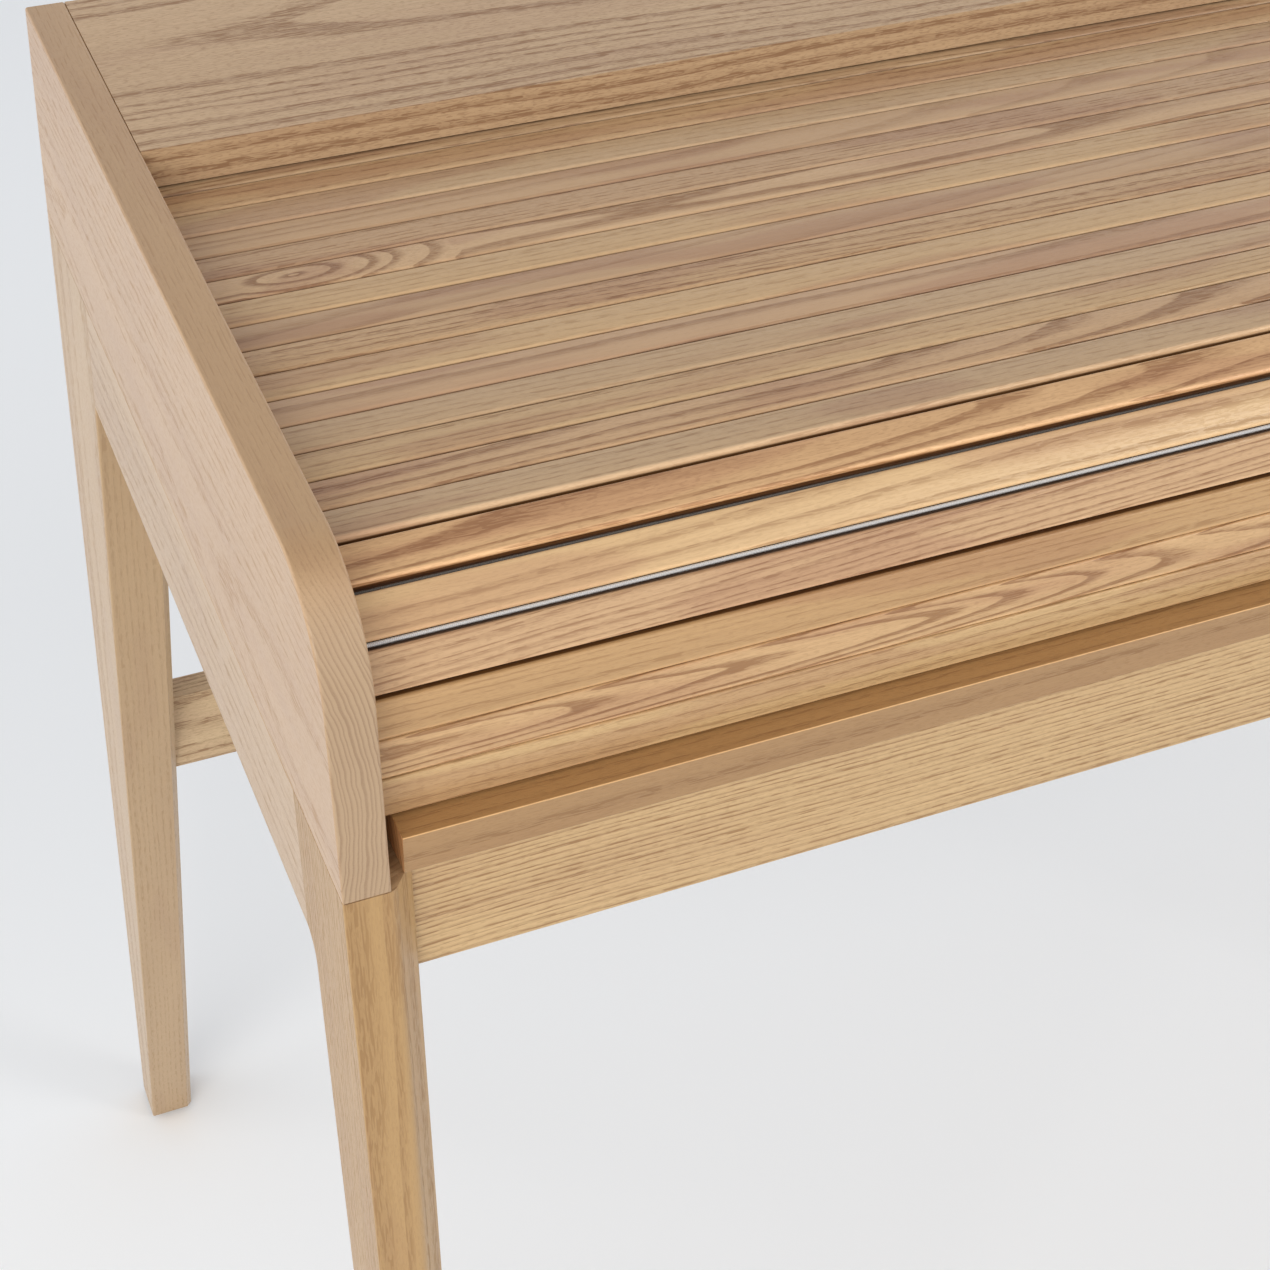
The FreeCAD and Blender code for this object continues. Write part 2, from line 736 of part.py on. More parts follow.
def gap_after(number):
    """Part of the same joint on the next slat's side; the open joint lies mostly there."""
    if number == TOP_SLATS + 2:
        return size("open_gap") - size("slat_gap") / 2
    return gap_before(number)


def slat(number, frame, tongued):
    """One slat: flat back, rounded top arrises, and tongues where it stays in the groove."""
    body = curtain_body(f"slat_{number:02d}", frame)
    near = as_size(0) - gap_after(number - 1)
    far = gap_before(number) - frame[3]
    top = size("slat_thickness")
    soft = size("slat_round")
    corners = [(far, 0), (near, 0), (near, top - soft), (near - soft, top), (far + soft, top),
               (far, top - soft)]
    arcs = {2: ((near - soft, top - soft), soft), 4: ((far + soft, top - soft), soft)}
    face = size("side_thickness") + size("curtain_end_gap")
    strip(body, face, corners, arcs)
    if tongued:
        low = size("tongue_lift")
        high = low + size("tongue_thickness")
        strip(body, face - size("tongue_length"),
              [(far + low, low), (near - low, low), (near - low, high), (far + low, high)])
    return body


def canvas(label, frame, length, fold_rear):
    """Canvas strip glued behind a run of slats; it stops just short of each fold."""
    body = curtain_body(label, frame)
    rear = as_size(0) - size("canvas_fold") if fold_rear else as_size(0)
    front = size("canvas_fold") - length
    low = as_size(0) - size("canvas_thickness")
    strip(body, size("canvas_margin"), [(front, low), (rear, low), (rear, 0), (front, 0)])
    return body


def lead_rail(frame):
    """Batten that stiffens the last slat, glued to the canvas behind it."""
    body = curtain_body("lead_rail", frame)
    high = as_size(0) - size("canvas_thickness")
    low = high - size("lead_thickness")
    rear = as_size(0) - size("slat_gap")
    front = size("slat_gap") - frame[3]
    strip(body, size("lead_margin"), [(front, low), (rear, low), (rear, high), (front, high)])
    return body


def tambour():
    frames = curtain_frames()
    for number, frame in enumerate(frames, start=1):
        slat(number, frame, number <= TOP_SLATS)
    canvas("canvas_top", frames[0], size("slat_pitch") * TOP_SLATS, False)
    for number in range(BEND_SLATS):
        canvas(f"canvas_bend_{number + 1}", frames[TOP_SLATS + number], size("slat_pitch"), True)
    front = frames[TOP_SLATS + BEND_SLATS:]
    canvas("canvas_front", front[0], total(pitch for _, _, _, pitch in front), True)
    lead_rail(frames[-1])


# ---------------------------------------------------------------- back of the hood
def between_sides(label, corners):
    """A board that spans between the two side panels, from its section."""
    body = new_body(label)
    outline = new_sketch(body, "YZ_Plane", size("side_thickness"))
    draw_loop(outline, corners)
    pad(body, outline, WIDTH - size("side_thickness") * 2)
    return body


def rear_top():
    """Fixed top over the parked curtain, flush with the side panels."""
    top = size("overall_height")
    low = top - size("rear_top_thickness")
    front = FRONT + size("rear_top_front")
    return between_sides("rear_top", [
        (front, low), (rear_line(low), low), (rear_line(top), top), (front, top)])


def back_panel():
    """Back of the hood, parallel to the raked rear edges and set a little inside them."""
    low = SEAM
    high = size("overall_height") - size("rear_top_thickness")
    inset = size("back_inset")
    depth = inset + size("back_thickness") * REAR_STRETCH
    return between_sides("back_panel", [
        (rear_line(low) - depth, low), (rear_line(low) - inset, low),
        (rear_line(high) - inset, high), (rear_line(high) - depth, high)])


# ---------------------------------------------------------------- organiser and drawers
FLOOR_BOTTOM = BOARD_TOP + size("organiser_lift")
FLOOR_TOP = FLOOR_BOTTOM + size("organiser_floor")
ORGANISER_FRONT = FRONT + size("organiser_front")
ORGANISER_DEPTH = size("organiser_rear") - size("organiser_front")


def divider_places():
    """Lower x of each divider, from left to right."""
    side = size("side_thickness")
    thick = size("divider_thickness")
    bay = size("drawer_bay")
    first = side + bay
    open_width = (WIDTH - side * 2 - bay * 2 - thick * (OPEN_BAYS + 1)) / OPEN_BAYS
    return [first + (open_width + thick) * number for number in range(OPEN_BAYS + 1)]


def organiser():
    side = size("side_thickness")
    slab("organiser_floor", (side, ORGANISER_FRONT, FLOOR_BOTTOM),
         (WIDTH - side * 2, ORGANISER_DEPTH, size("organiser_floor")))
    for number, x in enumerate(divider_places(), start=1):
        slab(f"divider_{number}", (x, ORGANISER_FRONT, FLOOR_TOP),
             (size("divider_thickness"), ORGANISER_DEPTH, size("divider_top") - FLOOR_TOP))


def drawer_front(side, x, width):
    body = new_body(f"drawer_front_{side.name}")
    low = FLOOR_TOP + size("slide_gap")
    high = size("divider_top")
    outline = new_sketch(body, "YZ_Plane", x)
    back = ORGANISER_FRONT + size("drawer_front")
    draw_loop(outline, [
        (ORGANISER_FRONT, low), (back, low), (back, high), (ORGANISER_FRONT, high)])
    blank = pad(body, outline, width)
    arrises = [(x + width / 2, ORGANISER_FRONT, low), (x + width / 2, ORGANISER_FRONT, high)]
    dress(body, "Fillet", blank, arrises, Radius=size("edge_round") / 2)
    return body


def drawer_tray(side, x, width):
    """Drawer box: a pad hollowed from above, with its bottom left in."""
    body = new_body(f"drawer_tray_{side.name}")
    low = FLOOR_TOP + size("slide_gap")
    start = ORGANISER_FRONT + size("drawer_front")
    wall = size("drawer_wall")
    depth = size("drawer_depth") - size("drawer_front")
    outline = new_sketch(body, "XY_Plane", low)
    draw_loop(outline, [(x, start), (x + width, start), (x + width, start + depth), (x, start + depth)])
    pad(body, outline, size("drawer_side_height"))
    block(body, "Subtractive", (x + wall, start + wall, low + size("drawer_bottom")),
          (width - wall * 2, depth - wall * 2, size("drawer_side_height")))
    return body


def drawer_knob(side, x):
    """Turned knob: a slim neck and a round head with a bevelled rim."""
    body = new_body(f"drawer_knob_{side.name}")
    radius = size("knob_radius")
    height = middle(FLOOR_TOP, size("divider_top"))
    outline = new_sketch(body, "YZ_Plane", x)
    root = ORGANISER_FRONT
    tip = root - size("knob_length")
    profile = [(0.0, 0.5), (0.6, 0.5), (0.6, 1.0), (0.9, 1.0), (1.0, 0.9)]
    corners = [(root, height)]
    corners += [(root - size("knob_length") * out, height + radius * wide) for out, wide in profile]
    draw_loop(outline, corners + [(tip, height)])
    axis = sketch_axis(outline, root, tip, height)
    turned = body.newObject("PartDesign::Revolution", "turning")
    turned.Profile = outline
    turned.Angle = 360
    turned.ReferenceAxis = (outline, [axis])
    doc.recompute()
    return body


def sketch_axis(sketch, root, tip, height):
    """Add the centre line that a turned piece revolves about."""
    start = Vector(root.number, height.number, 0)
    end = Vector(tip.number, height.number, 0)
    line = sketch.addGeometry(Part.LineSegment(start, end), True)
    pin(sketch, line, 1, (root, height))
    pin(sketch, line, 2, (tip, height))
    return "Axis0"


def drawers():
    gap = size("drawer_gap")
    side_x = size("side_thickness")
    width = size("drawer_bay") - gap * 2
    for side in SIDES:
        x = side.span(side_x + gap, side_x + gap + width)
        drawer_front(side, x, width)
        drawer_tray(side, x, width)
        drawer_knob(side, x + width / 2)


# ---------------------------------------------------------------- hardware
def primitive(kind, place, turn, **sizes):
    """A turned primitive of a fastener, measured from the corner datum."""
    item = doc.addObject(f"Part::{kind}", f"{kind.lower()}_blank")
    for name, value in sizes.items():
        item.setExpression(name, as_size(value).formula)
    item.Placement = Placement(Vector(), turn)
    for axis, value in zip("xyz", place):
        item.setExpression(f"Placement.Base.{axis}", as_size(value).formula)
    return item


def group(label, members):
    """Identical small pieces that share one node, each a solid of its own."""
    item = doc.addObject("Part::Compound", label)
    item.Links = members
    bind_place(item)
    doc.recompute()
    return finish(item, label)


def joined(members):
    item = doc.addObject("Part::MultiFuse", "joined")
    item.Shapes = members
    return item


def panel_dowels():
    return group("panel_dowels", [
        primitive("Cylinder", (x, y, SEAM - size("dowel_depth")), Rotation(),
                  Radius=size("dowel_radius"), Height=size("dowel_depth") * 2)
        for side in SIDES for x, y in dowel_spots(side)])


def runner_screw(side, y, z):
    """Countersunk screw, driven outwards through the runner into the side panel."""
    turn = Rotation(Vector(0, 1, 0), -90 if side.left else 90)
    face = side.at(size("side_thickness") + size("runner_width"))
    sunk = size("screw_shank")
    shank = size("screw_shank") - size("slide_gap") / 2
    head = size("screw_head") - size("slide_gap") / 2
    neck = side.at(size("side_thickness") + size("runner_width") - sunk)
    cone = primitive("Cone", (face, y, z), turn, Radius1=head, Radius2=shank, Height=sunk)
    stem = primitive("Cylinder", (neck, y, z), turn, Radius=shank,
                     Height=size("screw_length") - sunk)
    return joined([cone, stem])


def runner_screws():
    return group("runner_screws", [
        runner_screw(side, y, z) for side in SIDES for y, z in screw_spots(side)])


def foot_glide(side, leg, y):
    """Glide under a leg: a low cone that stands on its smaller end."""
    height = size("glide_height")
    radius = size("glide_radius")
    return primitive("Cone", (side.at(leg / 2), y, 0), Rotation(), Radius1=radius - height / 4,
                     Radius2=radius, Height=height)


def foot_glides():
    foot = size("glide_height")
    places = [(size("leg_width"), front_line(foot) + size("front_leg_foot") / 2),
              (size("back_leg_width"), rear_line(foot) - size("back_leg_foot") / 2)]
    return group("foot_glides", [foot_glide(side, leg, y) for side in SIDES for leg, y in places])


# ---------------------------------------------------------------- build, check and write
def build():
    for side in SIDES:
        side_panel(side)
        front_leg(side)
        back_leg(side)
        side_rail(side)
        board_runner(side)
    cross_member("front_apron", *APRON)
    cross_member("rear_rail", *REAR_RAIL)
    cross_member("back_stretcher", *STRETCHER)
    deck_panel()
    writing_board()
    tambour()
    rear_top()
    back_panel()
    organiser()
    drawers()
    panel_dowels()
    runner_screws()
    foot_glides()
    doc.recompute()


def check():
    """Stop if any feature failed or any piece isn't a sound solid."""
    for item in doc.Objects:
        broken = [state for state in item.State if state in ("Invalid", "Error")]
        if broken:
            raise RuntimeError(f"{item.Label}: {broken}")
    for item in pieces:
        if item.Shape.isNull() or not item.Shape.isValid() or not item.Shape.Solids:
            raise RuntimeError(f"{item.Label}: no sound solid")


def write():
    os.makedirs("parts", exist_ok=True)
    for item in pieces:
        item.Shape.exportStep(f"parts/{item.Label}.step")
    print(f"{len(pieces)} pieces written")


build()
check()
write()
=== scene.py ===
# %% [markdown]
# # A tambour desk in ash, dressed in Blender
#
# The desk's joinery is already modelled as solids. This lesson loads those solids as a fixed
# frame, gives every board its own ash grain, rebuilds the slatted curtain with Geometry
# Nodes, sews in its canvas, and sets up a plain studio. All lengths are metres.

# %% Load the frame
import json
import math

import bmesh
import bpy
from mathutils import Matrix, Vector


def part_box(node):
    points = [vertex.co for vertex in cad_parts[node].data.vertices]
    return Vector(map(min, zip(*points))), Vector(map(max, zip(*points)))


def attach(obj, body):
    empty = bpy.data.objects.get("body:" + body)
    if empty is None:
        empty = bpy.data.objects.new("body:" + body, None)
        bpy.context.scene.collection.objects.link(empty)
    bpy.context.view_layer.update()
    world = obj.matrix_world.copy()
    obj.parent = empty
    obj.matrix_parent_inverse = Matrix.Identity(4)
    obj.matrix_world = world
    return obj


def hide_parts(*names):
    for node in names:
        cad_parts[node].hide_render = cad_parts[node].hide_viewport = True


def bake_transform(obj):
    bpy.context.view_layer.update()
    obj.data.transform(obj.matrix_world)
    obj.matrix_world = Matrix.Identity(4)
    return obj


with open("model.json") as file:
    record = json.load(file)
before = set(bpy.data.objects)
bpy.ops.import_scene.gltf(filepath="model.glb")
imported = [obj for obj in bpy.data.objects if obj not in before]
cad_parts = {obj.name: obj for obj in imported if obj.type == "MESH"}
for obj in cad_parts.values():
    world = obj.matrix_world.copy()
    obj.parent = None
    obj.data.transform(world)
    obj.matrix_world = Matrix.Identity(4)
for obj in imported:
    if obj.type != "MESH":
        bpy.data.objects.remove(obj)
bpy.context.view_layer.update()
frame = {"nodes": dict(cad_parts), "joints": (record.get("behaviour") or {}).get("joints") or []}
nodes = frame["nodes"]
joints = {joint["name"]: joint for joint in frame["joints"]}

# %% [markdown]
# ## Helpers for objects
#
# Three small functions serve the whole lesson: they put an object into the scene, make a mesh
# from plain lists, and make a material with its wiring parts at hand.

# %% Object helpers
def link(item):
    bpy.context.scene.collection.objects.link(item)
    return item


def plain_mesh(name, vertices, faces):
    """A new linked mesh object at the origin, from vertex and face lists."""
    mesh = bpy.data.meshes.new(name)
    mesh.from_pydata(vertices, [], faces)
    mesh.update()
    return link(bpy.data.objects.new(name, mesh))


def new_material(name):
    """A material with nodes on; gives the material, its tree and its Principled BSDF."""
    material = bpy.data.materials.new(name)
    material.use_nodes = True
    return material, material.node_tree, material.node_tree.nodes["Principled BSDF"]


print("object helpers ready")

# %% [markdown]
# ## The camera
#
# Blender's camera looks along its own -Z axis. Turning one with Euler angles invites mistakes,
# so the three axes of the view are written as vectors: how far the view leans down, how far it
# looks to the right of straight ahead, and a slight roll. Its place is measured from the
# front lower corner of the hood's left side.

# %% Set up the camera
VIEW_DOWN = math.radians(40.649)
VIEW_RIGHT = math.radians(23.898)
VIEW_ROLL = math.radians(-2.0)
CAMERA_OFFSET = Vector((-0.0993, -0.4064, 0.4504))
FOCAL_LENGTH = 65.66
SENSOR_WIDTH = 36
NEAR_LIMIT = 0.05


def camera_axes(down, right, roll):
    """Right, up and backward axes of a view that leans down and looks to the right."""
    level = Vector((math.cos(right), -math.sin(right), 0))
    ahead = Vector((math.sin(right) * math.cos(down), math.cos(right) * math.cos(down),
                    -math.sin(down)))
    below = ahead.cross(level)
    across = level * math.cos(roll) + below * math.sin(roll)
    sinking = below * math.cos(roll) - level * math.sin(roll)
    return across, -sinking, -ahead


camera_data = bpy.data.cameras.new("camera")
camera_data.sensor_width = SENSOR_WIDTH
camera_data.lens = FOCAL_LENGTH
camera_data.clip_start = NEAR_LIMIT
camera = link(bpy.data.objects.new("camera", camera_data))
axes = Matrix(camera_axes(VIEW_DOWN, VIEW_RIGHT, VIEW_ROLL)).transposed()
camera_place = Vector(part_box("side_panel_left")[0]) + CAMERA_OFFSET
camera.matrix_world = Matrix.Translation(camera_place) @ axes.to_4x4()
bpy.context.scene.camera = camera
print("camera axes", [tuple(round(value, 4) for value in row) for row in axes])

# %% [markdown]
# ## Helpers for node trees
#
# Shader trees and geometry trees are both made of nodes and links, so a few helpers serve both.
# One adds a node and fills its sockets, and the others wrap the arithmetic.

# %% Node helpers
def fill(tree, node, inputs):
    """Give sockets, by name or number, a value or a link from another socket."""
    for name, value in inputs.items():
        if isinstance(value, bpy.types.NodeSocket):
            tree.links.new(value, node.inputs[name])
        else:
            node.inputs[name].default_value = value


def add(tree, kind, inputs=None, **settings):
    """Add a node with its settings and its filled inputs."""
    node = tree.nodes.new(kind)
    for name, value in settings.items():
        setattr(node, name, value)
    fill(tree, node, inputs or {})
    return node


def sum_up(tree, operation, first, second=0.0):
    """One Math node; gives its output."""
    return add(tree, "ShaderNodeMath", {0: first, 1: second}, operation=operation).outputs[0]


def times(tree, first, second):
    return sum_up(tree, "MULTIPLY", first, second)


def plus(tree, first, second):
    return sum_up(tree, "ADD", first, second)


def vector(tree, operation, first, second=(0, 0, 0)):
    """One Vector Math node; gives its vector output."""
    return add(tree, "ShaderNodeVectorMath", {0: first, 1: second}, operation=operation).outputs[0]


def scaled(tree, place, amount):
    """A vector times one number."""
    return add(tree, "ShaderNodeVectorMath", {0: place, "Scale": amount},
               operation="SCALE").outputs[0]


def measured(tree, operation, first, second=(0, 0, 0)):
    """A length or a dot product; gives the number."""
    return add(tree, "ShaderNodeVectorMath", {0: first, 1: second},
               operation=operation).outputs["Value"]


def parts(tree, value):
    """The three numbers of a vector, by axis."""
    return add(tree, "ShaderNodeSeparateXYZ", {0: value}).outputs


def joined(tree, x=0.0, y=0.0, z=0.0):
    """A vector from three numbers."""
    return add(tree, "ShaderNodeCombineXYZ", {0: x, 1: y, 2: z}).outputs[0]


def noise(tree, place, scale, detail=2.0, roughness=0.5, output=0):
    """A noise from 0 to 1 at a place, with a scale of its own along each axis."""
    stretched = vector(tree, "MULTIPLY", place, scale)
    return add(tree, "ShaderNodeTexNoise", {"Vector": stretched, "Scale": 1.0, "Detail": detail,
                                            "Roughness": roughness}).outputs[output]


def sway(tree, place, scale):
    """A noise vector whose parts run from -0.5 to 0.5."""
    return vector(tree, "SUBTRACT", noise(tree, place, scale, output="Color"), (0.5, 0.5, 0.5))


def ramp(tree, value, low, high, start=0.0, end=1.0, smooth=True):
    """Map a value from low..high to start..end, clamped, with a soft or straight slope."""
    return add(tree, "ShaderNodeMapRange",
               {"Value": value, "From Min": low, "From Max": high, "To Min": start, "To Max": end},
               interpolation_type="SMOOTHSTEP" if smooth else "LINEAR").outputs[0]


def mix(tree, factor, first, second, blend="MIX"):
    """Mix two colours; gives the colour output."""
    node = add(tree, "ShaderNodeMix", data_type="RGBA", blend_type=blend)
    fill(tree, node, {0: factor, 6: first, 7: second})
    return node.outputs[2]


def tinted(tree, colour, tint):
    """A colour multiplied by a fixed tint."""
    return mix(tree, 1.0, colour, (*tint, 1), "MULTIPLY")


def bumped(tree, height, strength, depth):
    """A surface normal that follows a height."""
    return add(tree, "ShaderNodeBump", {"Height": height, "Strength": strength,
                                        "Distance": depth}).outputs[0]


def node_group(name, tree_kind, inputs, outputs):
    """A group of named sockets: inputs (name, kind, default), outputs (name, kind).

    Gives the group, the values that come in and the node that takes the results.
    """
    group = bpy.data.node_groups.new(name, tree_kind)
    for label, kind, default in inputs:
        socket = group.interface.new_socket(label, in_out="INPUT", socket_type=f"NodeSocket{kind}")
        if default is not None:
            socket.default_value = default
    for label, kind in outputs:
        group.interface.new_socket(label, in_out="OUTPUT", socket_type=f"NodeSocket{kind}")
    entry = group.nodes.new("NodeGroupInput")
    return group, entry.outputs, group.nodes.new("NodeGroupOutput")


print("node helpers ready")

# %% [markdown]
# ## Floor and light
#
# The studio is a pale sweep that fills the view, in a slightly cool world that is bright near
# the horizon and dimmer overhead, as in a room with pale walls. The main light is a wide,
# slightly warm lamp on the front left, like a tall window beside the desk, so upright faces
# come out a little brighter than level ones. A weak lamp lights the desk's left side, and a
# small one high on the right lifts the shadows and puts a sheen on the rounded corner. The
# floor shows its own pale grey to the camera and to gloss, and a neutral grey to the light
# that bounces off it, so it doesn't tint the wood.

# %% Build the studio
FLOOR_COLOUR = (0.94, 0.965, 0.985, 1)
FLOOR_BOUNCE = (0.70, 0.69, 0.67, 1)
FLOOR_ROUGHNESS, FLOOR_GLOSS = 0.6, 0.2
FLOOR_REACH = 30
WORLD_COLOUR = (0.96, 0.97, 1.0, 1)
HORIZON, ZENITH = 1.0, 0.46
HORIZON_HEIGHT, ZENITH_HEIGHT = 0.15, 0.95
LAMP_AIM = Vector((0, 0, 0.6))
LAMPS = [
    # name, place, width, power, colour
    ("key_lamp", (-2.4, -2.8, 2.6), 2.4, 60, (1.0, 0.95, 0.88)),
    ("left_lamp", (-3.4, 0.6, 1.3), 2.2, 20, (1.0, 0.99, 0.98)),
    ("fill_lamp", (1.7, -2.3, 2.8), 0.9, 20, (1.0, 0.97, 0.93)),
]


def area_lamp(name, place, width, power, colour):
    """A square soft lamp that faces the desk."""
    lamp = bpy.data.lights.new(name, "AREA")
    lamp.shape = "SQUARE"
    lamp.size = width
    lamp.energy = power
    lamp.color = colour
    item = link(bpy.data.objects.new(name, lamp))
    turn = (LAMP_AIM - Vector(place)).to_track_quat("-Z", "Y")
    item.matrix_world = Matrix.Translation(place) @ turn.to_matrix().to_4x4()


floor = plain_mesh("floor", [(-FLOOR_REACH, -FLOOR_REACH, 0), (FLOOR_REACH, -FLOOR_REACH, 0),
                             (FLOOR_REACH, FLOOR_REACH, 0), (-FLOOR_REACH, FLOOR_REACH, 0)],
                   [(0, 1, 2, 3)])
floor_material, floor_tree, floor_shader = new_material("studio_floor")
ray = add(floor_tree, "ShaderNodeLightPath").outputs
shown = sum_up(floor_tree, "MAXIMUM", ray["Is Camera Ray"], ray["Is Glossy Ray"])
fill(floor_tree, floor_shader, {
    "Base Color": mix(floor_tree, shown, FLOOR_BOUNCE, FLOOR_COLOUR),
    "Roughness": FLOOR_ROUGHNESS, "Specular IOR Level": FLOOR_GLOSS})
floor.data.materials.append(floor_material)
world = bpy.data.worlds.new("studio")
world.use_nodes = True
sky = world.node_tree
direction = add(sky, "ShaderNodeTexCoord").outputs["Generated"]
strength = ramp(sky, parts(sky, direction)["Z"], HORIZON_HEIGHT, ZENITH_HEIGHT, HORIZON, ZENITH,
                smooth=False)
fill(sky, sky.nodes["Background"], {"Strength": strength, "Color": WORLD_COLOUR})
bpy.context.scene.world = world
for lamp in LAMPS:
    area_lamp(*lamp)
bpy.context.scene.view_settings.view_transform = "Standard"
print("studio ready")

# %% [markdown]
# ## Ash, as a log with rings
#
# Ash shows open, brown early wood and dense, pale late wood. Painting lines along a board never
# looks right where faces meet, so the grain here is solid: every board is cut from a log whose
# heart lies somewhere beside it. Rings are shells about that heart, bent a little along the
# log, so a face along the rings shows tall arches, a face across them shows straight lines,
# and the ends show curved end grain, all by themselves. The group's X runs along the grain.
# Smoky heartwood clouds the colour in places, as it does in real ash, and where a log leans
# its rings show as bold smooth lines. Each noise has a scale along the log and one across it,
# in repeats per metre, so every pattern is drawn out along the grain.

# %% Build the ash grain group
PALE = (0.56, 0.385, 0.225)
BROWN = (0.30, 0.17, 0.085)
SMOKE_TINT = (0.88, 0.82, 0.83)
BEND_SCALE, RIPPLE_SCALE, STRENGTH_SCALE = (1.6, 4, 4), (14, 90, 90), (3, 24, 24)
LONG_PORE_SCALE, SHORT_PORE_SCALE = (150, 1900, 1900), (420, 2900, 2900)
FIBRE_SCALE, FLOW_SCALE, SMOKE_SCALE = (14, 1200, 1200), (2.2, 30, 30), (9, 75, 75)
UNEVEN_REPEATS, UNEVEN_SHIFT = 0.45, 1.5
# Ramps map the first two numbers to 0 and 1, or to the last two where there are four.
RING_OPENS, RING_FADES, RING_STRENGTH = (0.0, 0.07), (0.12, 0.60, 1.0, 0.0), (0.25, 0.75, 0.45, 1.0)
LONG_PORES, PORES_BY_RING = (0.50, 0.60), (0.05, 0.6, 0.12, 1.0)
SHORT_PORES, SHORT_PORE_SHARE = (0.56, 0.64), 0.45
BOLD_RINGS, BOLD_PORES = (0, 1, 0.46, 0.85), (0, 1, 0.85, 0.25)
FIBRE_SHADE, FLOW_SHADE = (0.28, 0.72, -0.14, 0.14), (0.25, 0.75, -0.04, 0.22)
SMOKE_CLOUDS = (0.51, 0.61)
PORE_RELIEF, FIBRE_RELIEF = -0.8, 0.5


def bent_place(group, given):
    """The place in the log, bent by slow waves and by a fine ripple."""
    place = given["Place"]
    bend = scaled(group, sway(group, place, BEND_SCALE), times(group, given["Wander"], 2.0))
    ripple = scaled(group, sway(group, place, RIPPLE_SCALE), given["Ripple"])
    return vector(group, "ADD", vector(group, "ADD", place, bend), ripple)


def early_wood(group, given, bent):
    """How much a point lies in open early wood: sharp where a ring starts, then fading."""
    radius = measured(group, "LENGTH", vector(group, "MULTIPLY", bent, (0, 1, 1)))
    rings = sum_up(group, "DIVIDE", radius, given["Ring Width"])
    uneven = add(group, "ShaderNodeTexNoise", {"W": times(group, rings, UNEVEN_REPEATS),
                                               "Scale": 1.0, "Detail": 1.0},
                 noise_dimensions="1D").outputs[0]
    rings = plus(group, rings, times(group, uneven, UNEVEN_SHIFT))
    phase = sum_up(group, "FRACT", rings)
    early = times(group, ramp(group, phase, *RING_OPENS), ramp(group, phase, *RING_FADES))
    strength = noise(group, given["Place"], STRENGTH_SCALE, 1.0)
    return times(group, early, ramp(group, strength, *RING_STRENGTH))


def open_pores(group, bent, early):
    """Long pores inside the early wood and faint short ones everywhere."""
    long_pores = noise(group, bent, LONG_PORE_SCALE, 0.0)
    short_pores = noise(group, bent, SHORT_PORE_SCALE, 0.0)
    pores = times(group, ramp(group, long_pores, *LONG_PORES),
                  ramp(group, early, *PORES_BY_RING))
    faint = times(group, ramp(group, short_pores, *SHORT_PORES), SHORT_PORE_SHARE)
    return sum_up(group, "MAXIMUM", pores, faint)


def build_ash_grain():
    group, given, result = node_group(
        "ash_grain", "ShaderNodeTree",
        [("Place", "Vector", (0, 0, 0)), ("Ring Width", "Float", 0.003),
         ("Wander", "Float", 0.012), ("Ripple", "Float", 0.0014), ("Smoke", "Float", 0.3),
         ("Bold", "Float", 0.0), ("Contrast", "Float", 1.0), ("Pale", "Color", (*PALE, 1)),
         ("Brown", "Color", (*BROWN, 1)), ("Tint", "Color", (1, 1, 1, 1))],
        [("Color", "Color"), ("Pores", "Float"), ("Rings", "Float"), ("Height", "Float")])
    bent = bent_place(group, given)
    early = early_wood(group, given, bent)
    pores = open_pores(group, bent, early)
    fibre = noise(group, bent, FIBRE_SCALE, 2.0, 0.6)
    flow = noise(group, given["Place"], FLOW_SCALE)
    ring_show = ramp(group, given["Bold"], *BOLD_RINGS, smooth=False)
    pore_show = ramp(group, given["Bold"], *BOLD_PORES, smooth=False)
    dark = plus(group, times(group, early, ring_show), times(group, pores, pore_show))
    dark = plus(group, dark, ramp(group, fibre, *FIBRE_SHADE, smooth=False))
    dark = times(group, dark, given["Contrast"])
    dark = plus(group, dark, ramp(group, flow, *FLOW_SHADE, smooth=False))
    clamped = add(group, "ShaderNodeClamp", {"Value": dark}).outputs[0]
    colour = mix(group, clamped, given["Pale"], given["Brown"])
    smoke = ramp(group, noise(group, bent, SMOKE_SCALE, 1.0), *SMOKE_CLOUDS)
    colour = mix(group, times(group, smoke, given["Smoke"]), colour,
                 tinted(group, colour, SMOKE_TINT))
    colour = mix(group, 1.0, colour, given["Tint"], "MULTIPLY")
    relief = plus(group, times(group, pores, PORE_RELIEF), times(group, fibre, FIBRE_RELIEF))
    fill(group, result, {"Color": colour, "Pores": pores, "Rings": early, "Height": relief})
    return group


ASH_GRAIN = build_ash_grain()
print("ash grain group with", len(ASH_GRAIN.nodes), "nodes")

# %% [markdown]
# ## A board's own finish
#
# Each board gets a material of its own: which way its grain runs, where the log's heart lies
# from it, how wide the rings are, and a slight tint. The pattern reads Object coordinates, and
# because every solid is left at the origin these are the desk's own coordinates. A face that
# looks along the grain is a cut end: its pores are too small to see, so it shows only the rings,
# in a colour of its own.

# %% Make ash materials
GRAIN_TURNS = {
    "x": (0, 0, 0),
    "y": (0, 0, math.radians(-90)),
    "z": (0, math.radians(90), 0),
}
GRAIN_AXES = {"x": (1, 0, 0), "y": (0, 1, 0), "z": (0, 0, 1)}
GRAIN_BUMP, GRAIN_DEPTH = 0.25, 0.0003
PORE_ROUGHNESS = 0.2
CUT_END, SMOOTH_SHARE = (0.35, 0.95), 0.25


